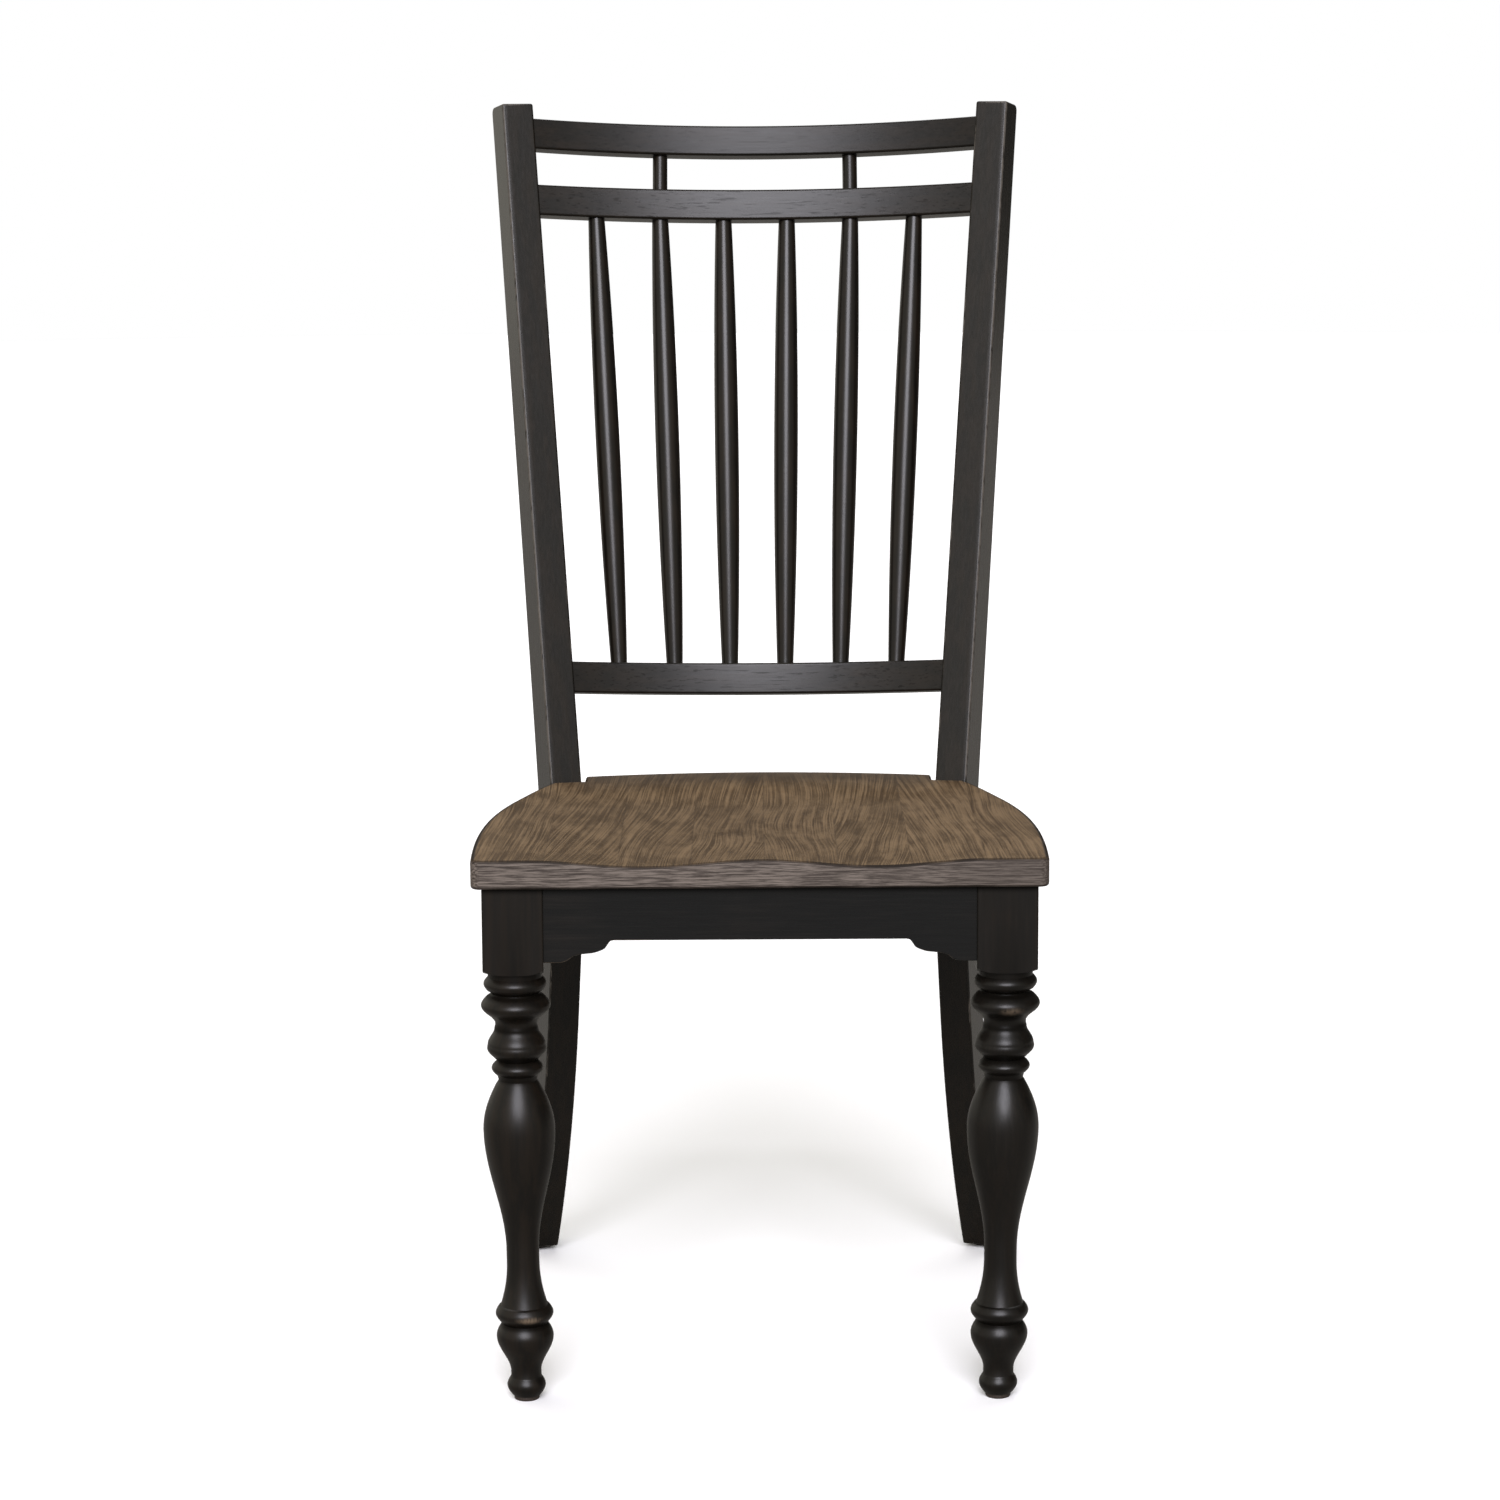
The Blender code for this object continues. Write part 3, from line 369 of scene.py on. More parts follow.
class Shader(NodeWork):
    """A material's nodes round its Principled shader."""

    board_shift: Triple = (0.37, 0.73, 0.19)

    def __init__(self, name: str) -> None:
        """Start from a new material with its Principled shader.

        Args:
            name: The material's name.
        """
        self.material = bpy.data.materials.new(name)
        self.material.use_nodes = True
        super().__init__(self.material.node_tree)
        self.surface = self.tree.nodes["Principled BSDF"]

    def show(self, name: str, value: object) -> None:
        """Give the surface one of its values, plain or from the nodes."""
        self.feed(self.surface.inputs[name], value)

    def coords(self) -> Socket:
        """The object's own coordinates."""
        return self.node("ShaderNodeTexCoord", {}).outputs["Object"]

    def place(self, grain: Grain | None = None) -> Socket:
        """Shift the coordinates for each board, and pack them along the grain.

        Args:
            grain: The way the grain runs, or none for a pattern with no grain.

        Returns:
            Where a pattern is read.
        """
        board = self.attribute(Mark.BOARD)
        offset = self.node("ShaderNodeVectorMath", {0: self.board_shift, "Scale": board}, operation="SCALE")
        moved = self.node("ShaderNodeVectorMath", {0: self.coords(), 1: offset.outputs[0]}).outputs[0]
        if grain is None:
            return moved
        return self.node("ShaderNodeMapping", {"Vector": moved, "Scale": grain.value}).outputs[0]

    def attribute(self, mark: Mark) -> Socket:
        """Read one of the mesh's own values."""
        return self.node("ShaderNodeAttribute", {}, attribute_name=mark.value).outputs["Fac"]

    def noise(self, place: Socket, pattern: Noise) -> Socket:
        """Add a cloudy pattern.

        Args:
            place: Where the pattern is read.
            pattern: What it is like.

        Returns:
            The value, from 0 to 1.
        """
        sockets = {
            "Vector": place, "Scale": pattern.scale, "Detail": pattern.detail,
            "Roughness": pattern.rough, "Distortion": pattern.warp,
        }
        return self.node("ShaderNodeTexNoise", sockets).outputs["Fac"]

    def blend(self, share: object, first: object, second: object) -> Socket:
        """Mix two colours by a share."""
        sockets = {"Factor": share, 6: self.opaque(first), 7: self.opaque(second)}
        return self.node("ShaderNodeMix", sockets, data_type="RGBA").outputs[2]

    def bump(self, height: Socket, strength: float, distance: float, normal: Socket | None = None) -> Socket:
        """Turn a height into a normal.

        Args:
            height: The height.
            strength: How much of it shows.
            distance: How high a height of 1 stands.
            normal: An earlier normal to add it to, if there is one.

        Returns:
            The normal.
        """
        sockets = {"Height": height, "Strength": strength, "Distance": distance}
        if normal is not None:
            sockets["Normal"] = normal
        return self.node("ShaderNodeBump", sockets).outputs[0]

    @staticmethod
    def opaque(colour: object) -> object:
        """Add full opacity to a plain colour."""
        return (*colour, 1.0) if isinstance(colour, tuple) else colour


@dataclass(frozen=True)
class SatinPaint:
    """Satin black paint over wood, browner where it is thin."""

    slot: str = "black_painted_wood"
    black: Colour = (0.0034, 0.0030, 0.0024)
    umber: Colour = (0.0130, 0.0085, 0.0052)
    roughness: float = 0.275
    sheen_level: float = 0.32
    warmth: float = 0.15
    cloud: Noise = Noise(11.0, 3.0, 0.55)
    cloud_range: Range = (0.42, 0.72)
    streak: Noise = Noise(130.0, 3.0, 0.6)
    streak_range: Range = (0.3, 0.8)
    warm_range: Range = (0.35, 0.65)
    warm_swing: Range = (0.3, 1.7)

    def thin_colour(self, shader: Shader, whole: Socket, streak: Socket) -> Socket:
        """Colour the paint from black to umber, in streaks and in broad clouds.

        Args:
            shader: The finish in the making.
            whole: Where a pattern with no grain is read.
            streak: The streaks along the grain.

        Returns:
            The colour.
        """
        low, high = (self.warmth * swing for swing in self.warm_swing)
        clouds = shader.remap(shader.noise(whole, self.cloud), *self.cloud_range)
        warm = shader.times(clouds, shader.remap(streak, *self.streak_range))
        warm = shader.larger(warm, shader.remap(streak, *self.warm_range, low, high))
        return shader.blend(warm, self.black, self.umber)

    def material(self, grain: Grain) -> bpy.types.Material:
        """Build the finish for one way of the grain.

        Args:
            grain: The way the piece's grain runs.

        Returns:
            The material.
        """
        shader = Shader("satin_paint_" + grain.name.lower())
        streak = shader.noise(shader.place(grain), self.streak)
        shader.show("Base Color", self.thin_colour(shader, shader.place(), streak))
        shader.show("Roughness", self.roughness)
        shader.show("Specular IOR Level", self.sheen_level)
        return shader.material


@dataclass(frozen=True)
class WornPaint(SatinPaint):
    """Satin paint with brush marks and dark pores, rubbed through to the wood here and there, with glaze and
    painted shade in marked grooves and under the seat.
    """

    dusty: Colour = (0.0105, 0.0088, 0.0070)
    bare: Colour = (0.1900, 0.1400, 0.0950)
    brush_depth: float = 0.05
    brush: Noise = Noise(520.0, 4.0, 0.6)
    brush_range: Range = (0.2, 0.8)
    brush_bump: float = 0.0004
    streak_bump: float = 0.0008
    dust_range: Range = (0.52, 0.80)
    dust_for_brush: float = 8.0
    most_dust: float = 0.30
    edge_wear: float = 0.45
    edge_range: Range = (0.35, 0.95)
    ragged: Noise = Noise(240.0, 4.0, 0.65)
    ragged_range: Range = (0.46, 0.64)
    patch: Noise = Noise(26.0, 2.0, 0.5)
    patch_range: Range = (0.42, 0.62)
    spot_range: Range = (0.30, 0.55)
    pores: float = 0.15
    pore: Noise = Noise(620.0, 2.0, 0.6)
    pore_range: Range = (0.56, 0.66)
    # Pores, glaze and painted shade pull the colour this far to black, and keep this share of the sheen.
    glaze_share: float = 0.7
    shade_and_glaze_sheen: float = 0.25

    def wear(self, shader: Shader, whole: Socket, packed: Socket, brush: Socket) -> Socket:
        """How far the paint is rubbed through, along the arrises and at worn spots.

        Args:
            shader: The finish in the making.
            whole: Where a pattern with no grain is read.
            packed: Where a pattern along the grain is read.
            brush: The brush marks.

        Returns:
            The share of bare wood.
        """
        ragged = shader.remap(shader.noise(packed, self.ragged), *self.ragged_range)
        patchy = shader.remap(shader.noise(whole, self.patch), *self.patch_range)
        arrises = shader.remap(shader.attribute(Mark.EDGE), *self.edge_range)
        arrises = shader.times(shader.times(arrises, shader.times(ragged, patchy)), self.edge_wear)
        spots = shader.times(shader.attribute(Mark.RUB), shader.remap(brush, *self.spot_range))
        return shader.larger(arrises, spots)

    def material(self, grain: Grain) -> bpy.types.Material:
        """Build the finish for one way of the grain.

        Args:
            grain: The way the piece's grain runs.

        Returns:
            The material.
        """
        shader = Shader("worn_paint_" + grain.name.lower())
        whole, packed = shader.place(), shader.place(grain)
        brush, streak = shader.noise(packed, self.brush), shader.noise(packed, self.streak)
        most_dust = min(self.dust_for_brush * self.brush_depth, self.most_dust)
        dust = shader.times(shader.remap(brush, *self.dust_range), most_dust)
        worn = self.wear(shader, whole, packed, brush)
        # Dark pores, and the marked grooves and line under the seat, which carry painted shade: darker and
        # less glossy there.
        pore = shader.remap(shader.noise(packed, self.pore), *self.pore_range, 0.0, self.pores)
        glaze = shader.larger(shader.attribute(Mark.GROOVE), pore)
        colour = shader.blend(dust, self.thin_colour(shader, whole, streak), self.dusty)
        colour = shader.blend(worn, colour, self.bare)
        colour = shader.blend(shader.times(glaze, self.glaze_share), colour, self.black)
        change = self.brush_depth / 2
        gloss = shader.remap(brush, *self.brush_range, self.roughness - change, self.roughness + change)
        sheen = shader.remap(glaze, 0.0, 1.0, self.sheen_level, self.sheen_level * self.shade_and_glaze_sheen)
        normal = shader.bump(brush, self.brush_depth, self.brush_bump)
        shader.show("Base Color", colour)
        shader.show("Roughness", shader.plus(gloss, worn))
        shader.show("Specular IOR Level", sheen)
        shader.show("Normal", shader.bump(streak, self.brush_depth, self.streak_bump, normal))
        return shader.material


@dataclass(frozen=True)
class SeatStain:
    """A mid brown stain on glued boards, with a dark glaze left along the edges."""

    slot: str = "brown_seat_wood"
    light: Colour = (0.167, 0.111, 0.0590)
    dark: Colour = (0.056, 0.034, 0.0155)
    pore: Colour = (0.030, 0.019, 0.011)
    edge_light: Colour = (0.160, 0.133, 0.114)
    edge_dark: Colour = (0.036, 0.028, 0.023)
    glaze: Colour = (0.014, 0.011, 0.009)
    board_width: float = 0.060
    first_joint: float = 0.004
    board_step: float = 0.37
    board_change: float = 0.03
    board_lean: float = 0.22
    board_run: float = 0.42
    sway: Noise = Noise(9.0, 1.0, 0.4)
    sway_reach: float = 0.034
    ripple: Noise = Noise(36.0, 2.0, 0.5)
    ripple_reach: float = 0.0026
    line_run: float = 0.0085
    lines: Noise = Noise(940.0, 3.0, 0.6)
    line_share: float = 0.64
    broad: Noise = Noise(42.0, 4.0, 0.65, 0.2)
    broad_share: float = 0.36
    tone_range: Range = (0.41, 0.63)
    pores: Noise = Noise(1100.0, 2.0, 0.6)
    pore_range: Range = (0.56, 0.72)
    pore_share: float = 0.55
    pore_relief: Relief = (0.2, 0.0003)
    joint_range: Range = (0.485, 0.5)
    joint_share: float = 0.30
    rear_range: Range = (0.325, 0.390)
    rear_share: float = 0.42
    streaks: Noise = Noise(700.0, 4.0, 0.7)
    streak_range: Range = (0.36, 0.62)
    dashes: Noise = Noise(900.0, 2.0, 0.6)
    dash_range: Range = (0.54, 0.66)
    dash_share: float = 0.7
    cloud: Noise = Noise(16.0, 3.0, 0.55)
    cloud_range: Range = (0.35, 0.75)
    cloud_share: float = 0.35
    right_end_range: Range = (0.12, 0.19)
    right_end_share: float = 0.40
    arris_range: Range = (0.25, 0.9)
    arris_cloud_range: Range = (0.35, 0.60)
    arris_least: float = 0.6
    rim_range: Range = (0.0026, 0.0042)
    most_glaze: float = 0.95
    gloss_range: Range = (0.2, 0.8)
    roughness: Range = (0.48, 0.60)
    sheen_range: Range = (0.0, 0.7)
    sheen_level: Range = (0.22, 0.05)

    def flow(self, shader: Shader) -> tuple[Socket, Socket, Socket, Socket]:
        """Lay out the boards and the wavy run of their grain from front to rear.

        Args:
            shader: The finish in the making.

        Returns:
            The place along the wavy grain, the place on the board, each board's own number,
            and the distance from its middle.
        """
        split = shader.node("ShaderNodeSeparateXYZ", {0: shader.coords()})
        x, y = split.outputs["X"], split.outputs["Y"]
        count = shader.sum_of("DIVIDE", shader.minus(x, self.first_joint), self.board_width)
        number = shader.sum_of("FLOOR", count)
        within = shader.sum_of("ABSOLUTE", shader.centred(shader.sum_of("FRACT", count)))
        draw = shader.node("ShaderNodeTexWhiteNoise", {"W": number}, noise_dimensions="1D")
        chance = draw.outputs["Value"]
        lane = shader.times(number, self.board_step)
        slow = {"X": x, "Y": shader.times(y, self.board_run), "Z": lane}
        board = shader.node("ShaderNodeCombineXYZ", slow).outputs[0]
        sway = shader.times(shader.centred(shader.noise(board, self.sway)), self.sway_reach)
        ripple = shader.times(shader.centred(shader.noise(board, self.ripple)), self.ripple_reach)
        lean = shader.times(shader.times(shader.centred(chance), self.board_lean), y)
        shift = shader.plus(shader.plus(sway, ripple), lean)
        wavy = {"X": shader.plus(x, shift), "Y": shader.times(y, self.line_run), "Z": lane}
        return shader.node("ShaderNodeCombineXYZ", wavy).outputs[0], board, chance, within

    def top(self, shader: Shader, lines: Socket, pores: Socket, layout: Sequence[Socket]) -> Socket:
        """Colour the saddled top: boards, grain, pores, and darker towards the rear.

        Args:
            shader: The finish in the making.
            lines: The lines of the grain.
            pores: The pores along them.
            layout: The place on the board, each board's own number, and the distance from its middle.

        Returns:
            The colour.
        """
        board, chance, within = layout
        broad = shader.noise(board, self.broad)
        tone = shader.plus(shader.times(broad, self.broad_share), shader.times(lines, self.line_share))
        tone = shader.plus(tone, shader.times(chance, self.board_change))
        top = shader.blend(shader.remap(tone, *self.tone_range), self.dark, self.light)
        top = shader.blend(shader.remap(pores, *self.pore_range, 0.0, self.pore_share), top, self.pore)
        top = shader.blend(shader.remap(within, *self.joint_range, 0.0, self.joint_share), top, self.pore)
        depth = shader.node("ShaderNodeSeparateXYZ", {0: shader.coords()}).outputs["Y"]
        start, end = (PLAN.front_y + depth_behind for depth_behind in self.rear_range)
        return shader.blend(shader.remap(depth, start, end, 0.0, self.rear_share), top, self.glaze)

    def side(self, shader: Shader, packed: Socket, cloud: Socket) -> Socket:
        """Colour the greyer edge of the board, with short dark dashes and a darker right end.

        Args:
            shader: The finish in the making.
            packed: Where a pattern along the grain is read.
            cloud: The broad clouds of the glaze.

        Returns:
            The colour.
        """
        streaks = shader.remap(shader.noise(packed, self.streaks), *self.streak_range)
        dashes = shader.remap(shader.noise(packed, self.dashes), *self.dash_range, 0.0, self.dash_share)
        clouds = shader.remap(cloud, *self.cloud_range, 0.0, self.cloud_share)
        across = shader.node("ShaderNodeSeparateXYZ", {0: shader.coords()}).outputs["X"]
        right_end = shader.remap(across, *self.right_end_range, 0.0, self.right_end_share)
        side = shader.blend(streaks, self.edge_dark, self.edge_light)
        for share in (dashes, clouds, right_end):
            side = shader.blend(share, side, self.edge_dark)
        return side

    def glaze_share(self, shader: Shader, cloud: Socket, upper: Socket) -> Socket:
        """How much dark glaze lies on the arrises and in a line along the curved sides.

        Args:
            shader: The finish in the making.
            cloud: The broad clouds of the glaze.
            upper: How far a place faces up.

        Returns:
            The share of glaze.
        """
        arrises = shader.remap(shader.attribute(Mark.EDGE), *self.arris_range, 0.0, self.most_glaze)
        arrises = shader.times(arrises, shader.remap(cloud, *self.arris_cloud_range, self.arris_least))
        side_line = shader.remap(shader.attribute(Mark.RIM), *self.rim_range, self.most_glaze, 0.0)
        return shader.larger(arrises, shader.times(side_line, upper))

    def material(self, grain: Grain) -> bpy.types.Material:
        """Build the finish.

        Args:
            grain: The way the streaks of the seat's edge run.

        Returns:
            The material.
        """
        shader = Shader("seat_stain")
        run, *layout = self.flow(shader)
        lines, pores = shader.noise(run, self.lines), shader.noise(run, self.pores)
        cloud = shader.noise(shader.place(), self.cloud)
        upper, edge = shader.attribute(Mark.UPPER), shader.attribute(Mark.EDGE)
        side = self.side(shader, shader.place(grain), cloud)
        colour = shader.blend(upper, side, self.top(shader, lines, pores, layout))
        shader.show("Base Color", shader.blend(self.glaze_share(shader, cloud, upper), colour, self.glaze))
        shader.show("Roughness", shader.remap(lines, *self.gloss_range, *self.roughness))
        shader.show("Specular IOR Level", shader.remap(edge, *self.sheen_range, *self.sheen_level))
        shader.show("Normal", shader.bump(pores, *self.pore_relief))
        return shader.material


@dataclass(frozen=True)
class BareWood:
    """Sanded hardwood with no finish."""

    slot: str = "bare_block_wood"
    light: Colour = (0.480, 0.330, 0.195)
    dark: Colour = (0.330, 0.215, 0.120)
    figure: Noise = Noise(160.0, 5.0, 0.6, 0.6)
    figure_range: Range = (0.3, 0.7)
    pores: Noise = Noise(900.0, 2.0, 0.6)
    pore_range: Range = (0.6, 0.8)
    pore_share: float = 0.4
    pore_relief: Relief = (0.25, 0.0003)
    gloss_range: Range = (0.2, 0.8)
    roughness: Range = (0.6, 0.75)

    def material(self, grain: Grain) -> bpy.types.Material:
        """Build the finish for one way of the grain.

        Args:
            grain: The way the piece's grain runs.

        Returns:
            The material.
        """
        shader = Shader("bare_wood")
        packed = shader.place(grain)
        figure, pores = shader.noise(packed, self.figure), shader.noise(packed, self.pores)
        colour = shader.blend(shader.remap(figure, *self.figure_range), self.dark, self.light)
        pore_share = shader.remap(pores, *self.pore_range, 0.0, self.pore_share)
        shader.show("Base Color", shader.blend(pore_share, colour, self.dark))
        shader.show("Roughness", shader.remap(figure, *self.gloss_range, *self.roughness))
        shader.show("Normal", shader.bump(pores, *self.pore_relief))
        return shader.material


@dataclass(frozen=True)
class ZincPlate:
    """Zinc plated steel, a little cloudy."""

    slot: str = "screw_steel"
    metal: Colour = (0.560, 0.560, 0.575)
    cloudy: Colour = (0.430, 0.430, 0.420)
    cloud: Noise = Noise(900.0, 3.0, 0.5)
    gloss_range: Range = (0.2, 0.8)
    roughness: Range = (0.25, 0.45)

    def material(self, grain: Grain) -> bpy.types.Material:
        """Build the finish.

        Args:
            grain: The way a piece's grain runs, which steel doesn't show.

        Returns:
            The material.
        """
        shader = Shader("zinc_plate")
        cloud = shader.noise(shader.place(), self.cloud)
        shader.show("Base Color", shader.blend(cloud, self.metal, self.cloudy))
        shader.show("Metallic", 1.0)
        shader.show("Roughness", shader.remap(cloud, *self.gloss_range, *self.roughness))
        return shader.material


@dataclass(frozen=True)
class GlidePlastic:
    """Moulded dark brown plastic."""

    slot: str = "glide_plastic"
    brown: Colour = (0.028, 0.020, 0.016)
    scuffed: Colour = (0.055, 0.043, 0.036)
    scuff: Noise = Noise(700.0, 4.0, 0.65)
    scuff_range: Range = (0.5, 0.75)
    scuff_relief: Relief = (0.1, 0.0002)
    gloss_range: Range = (0.3, 0.8)
    roughness: Range = (0.35, 0.55)

    def material(self, grain: Grain) -> bpy.types.Material:
        """Build the finish.

        Args:
            grain: The way a piece's grain runs, which plastic doesn't show.

        Returns:
            The material.
        """
        shader = Shader("glide_plastic")
        scuff = shader.noise(shader.place(), self.scuff)
        colour = shader.blend(shader.remap(scuff, *self.scuff_range), self.brown, self.scuffed)
        shader.show("Base Color", colour)
        shader.show("Roughness", shader.remap(scuff, *self.gloss_range, *self.roughness))
        shader.show("Normal", shader.bump(scuff, *self.scuff_relief))
        return shader.material


Finish = SatinPaint | SeatStain | BareWood | ZincPlate | GlidePlastic


@dataclass
class PaintShop:
    """Hands out finishes, and mixes each only once."""

    mixed: dict[tuple[Finish, Grain], bpy.types.Material] = field(default_factory=dict)

    def material(self, finish: Finish, grain: Grain) -> bpy.types.Material:
        """Give a finish for one way of the grain.

        Args:
            finish: The finish.
            grain: The way the piece's grain runs.

        Returns:
            The material, mixed now or before.
        """
        key = (finish, grain)
        if key not in self.mixed:
            self.mixed[key] = finish.material(grain)
        return self.mixed[key]


SHOP = PaintShop()


@dataclass(frozen=True)
class Spot:
    """A worn place: its middle, its reach to the sides and up, and how worn it is there."""

    middle: Triple
    width: float
    height: float
    amount: float

    def amount_at(self, point: Vector) -> float:
        """Find how worn a point is, less and less away from the middle.

        Args:
            point: The point.

        Returns:
            The amount of wear.
        """
        away = point - Vector(self.middle)
        away.z = away.z * self.width / self.height
        return self.amount * (1 - smooth_step(away.length, 0.0, self.width))


class Blank:
    """A piece in the making: a mesh that operators shape step by step."""

    made_count = 0

    def __init__(self) -> None:
        """Start with an empty mesh that can hold how far each point is an edge."""
        self.mesh = bmesh.new()
        self.edge_layer = self.mesh.verts.layers.float.new(Mark.EDGE.value)

    @classmethod
    def board(cls, size: Sequence[float], place: Matrix) -> Blank:
        """Start from a board.

        Args:
            size: Its size along each axis.
            place: Where its middle lies, and how it is turned.

        Returns:
            The blank.
        """
        blank = cls()
        bmesh.ops.create_cube(blank.mesh, size=1.0, matrix=place @ Matrix.Diagonal((*size, 1.0)))
        return blank

    @classmethod
    def sawn(cls, outline: Iterable[Vector], depth: Vector) -> Blank:
        """Saw a shape out of a plank.

        Args:
            outline: The points round the shape.
            depth: The way through the plank.

        Returns:
            The blank.
        """
        blank = cls()
        corners = [blank.mesh.verts.new(point) for point in outline]
        rim = [blank.mesh.edges.new(pair) for pair in zip(corners, [*corners[1:], corners[0]])]
        bmesh.ops.edgeloop_fill(blank.mesh, edges=rim)
        bmesh.ops.translate(blank.mesh, verts=blank.doubled(), vec=depth)
        return blank.faced_out()

    @classmethod
    def turned(cls, profile: Sequence[tuple[float, float]], steps: int) -> Blank:
        """Turn a shape on the lathe.

        Args:
            profile: Heights and radii from one end to the other.
            steps: How many steps make the full turn.

        Returns:
            The blank, standing on the Z axis with closed ends.
        """
        blank = cls()
        line = [(profile[0][0], 0.0), *profile, (profile[-1][0], 0.0)]
        verts = [blank.mesh.verts.new((radius, 0.0, height)) for height, radius in line]
        edges = [blank.mesh.edges.new(pair) for pair in zip(verts, verts[1:])]
        bmesh.ops.spin(
            blank.mesh, geom=[*verts, *edges], cent=(0, 0, 0), axis=(0, 0, 1),
            angle=math.tau, steps=steps, use_merge=True,
        )
        bmesh.ops.remove_doubles(blank.mesh, verts=blank.mesh.verts[:], dist=MERGE_DISTANCE)
        return blank.faced_out()

    def doubled(self) -> list[bmesh.types.BMVert]:
        """Extrude the flat shape into a closed shell that has no thickness yet.

        Returns:
            The points of its new side.
        """
        grown = bmesh.ops.extrude_face_region(self.mesh, geom=self.mesh.faces[:], use_keep_orig=True)
        return [item for item in grown["geom"] if isinstance(item, bmesh.types.BMVert)]

    def faced_out(self) -> Blank:
        """Point all faces outwards."""
        bmesh.ops.recalc_face_normals(self.mesh, faces=self.mesh.faces[:])
        return self

    def move(self, matrix: Matrix) -> Blank:
        """Move the whole blank."""
        bmesh.ops.transform(self.mesh, matrix=matrix, verts=self.mesh.verts[:])
        return self

    def bend(self, place_of: Callable[[Vector], Vector]) -> Blank:
        """Move each point.

        Args:
            place_of: The rule that gives a point's new place.

        Returns:
            The blank.
        """
        for vert in self.mesh.verts:
            vert.co = place_of(vert.co)
        return self

    def ease(self, width: float, segments: int,
             keep: Callable[[bmesh.types.BMEdge], bool] | None = None) -> Blank:
        """Round the arrises, and mark where a hand or a cloth would rub them.

        Args:
            width: The width of the rounding.
            segments: How many steps draw it.
            keep: A test for the edges to round, or none for all sharp ones.

        Returns:
            The blank.
        """
        sharp = [edge for edge in self.mesh.edges if edge.calc_face_angle(0.0) > LEAST_ARRIS_ANGLE]
        made = bmesh.ops.bevel(
            self.mesh, geom=[edge for edge in sharp if keep is None or keep(edge)], offset=width,
            offset_type="OFFSET", segments=segments, profile=ROUND_PROFILE, affect="EDGES",
            material=-1, clamp_overlap=True,
        )
        rounded = set(made["faces"])
        for vert in {vert for face in rounded for vert in face.verts}:
            if all(face in rounded for face in vert.link_faces):
                vert[self.edge_layer] = 1.0
        return self

    def slice(self, point: Vector, normal: Vector, clear: bool = False) -> Blank:
        """Cut across the blank, and with clear drop what lies past the cut.

        Args:
            point: A point on the cut.
            normal: The way past the cut.
            clear: Whether what lies past it goes.

        Returns:
            The blank, closed again.
        """
        geometry = [*self.mesh.verts, *self.mesh.edges, *self.mesh.faces]
        cut = bmesh.ops.bisect_plane(
            self.mesh, geom=geometry, dist=MERGE_DISTANCE, plane_co=point, plane_no=normal,
            clear_outer=clear,
        )
        if clear:
            rim = [item for item in cut["geom_cut"] if isinstance(item, bmesh.types.BMEdge)]
            bmesh.ops.edgeloop_fill(self.mesh, edges=rim)
        return self

    def slices(self, axis: Vector, start: float, end: float, count: int) -> Blank:
        """Cut the blank into even steps along an axis, with nothing dropped.

        Args:
            axis: The axis.
            start: Where the first step starts.
            end: Where the last step ends.
            count: How many steps there are.

        Returns:
            The blank.
        """
        for i in range(1, count):
            self.slice(axis * (start + (end - start) * i / count), axis)
        return self

    def cope(self) -> Blank:
        """Cut both ends off just inside the posts' inner faces.

        Returns:
            The blank.
        """
        for side in Side:
            self.slice(PLAN.post_point(side, 0.0, 0.0, PLAN.lap), PLAN.out_of_post(side), clear=True)
        return self

    def combine(self, other: Blank, joining: Joining) -> Blank:
        """Add or cut away another blank.

        Args:
            other: The other blank, which is used up.
            joining: How it meets this one.

        Returns:
            The blank.
        """
        items = []
        for blank in (self, other):
            data = bpy.data.meshes.new("blank")
            blank.mesh.to_mesh(data)
            item = bpy.data.objects.new("blank", data)
            bpy.context.scene.collection.objects.link(item)
            items.append(item)
        step = items[0].modifiers.new("join", "BOOLEAN")
        step.object, step.operation, step.solver = items[1], joining.value, "EXACT"
        bpy.context.view_layer.update()
        joined = items[0].evaluated_get(bpy.context.evaluated_depsgraph_get())
        result = bpy.data.meshes.new_from_object(joined)
        self.mesh.clear()
        self.mesh.from_mesh(result)
        self.edge_layer = self.mesh.verts.layers.float[Mark.EDGE.value]
        other.mesh.free()
        for item in items:
            data = item.data
            bpy.data.objects.remove(item)
            bpy.data.meshes.remove(data)
        bpy.data.meshes.remove(result)
        return self

    def mark(self, mark: Mark, amount_at: Callable[[Vector], float], arris_only: bool = False) -> Blank:
        """Mark how much of something each point has, for the finish to show.

        Args:
            mark: What is marked.
            amount_at: The amount at a place.
            arris_only: Whether only the rounded arrises are marked.

        Returns:
            The blank.
        """
        layers = self.mesh.verts.layers.float
        layer = layers.get(mark.value) or layers.new(mark.value)
        for vert in self.mesh.verts:
            if vert[self.edge_layer] > 0 or not arris_only:
                vert[layer] = max(vert[layer], amount_at(vert.co))
        return self

    def shade(self) -> Blank:
        """Paint a narrow line of shade right under the seat, as its overhang would cast."""
        # The painted shade rides on the same mark as the glaze in the turnings' grooves.
        self.slice(AXIS_Z * (PLAN.frame_top - PLAN.shade_depth), AXIS_Z)
        return self.mark(Mark.GROOVE, PLAN.shade_at)

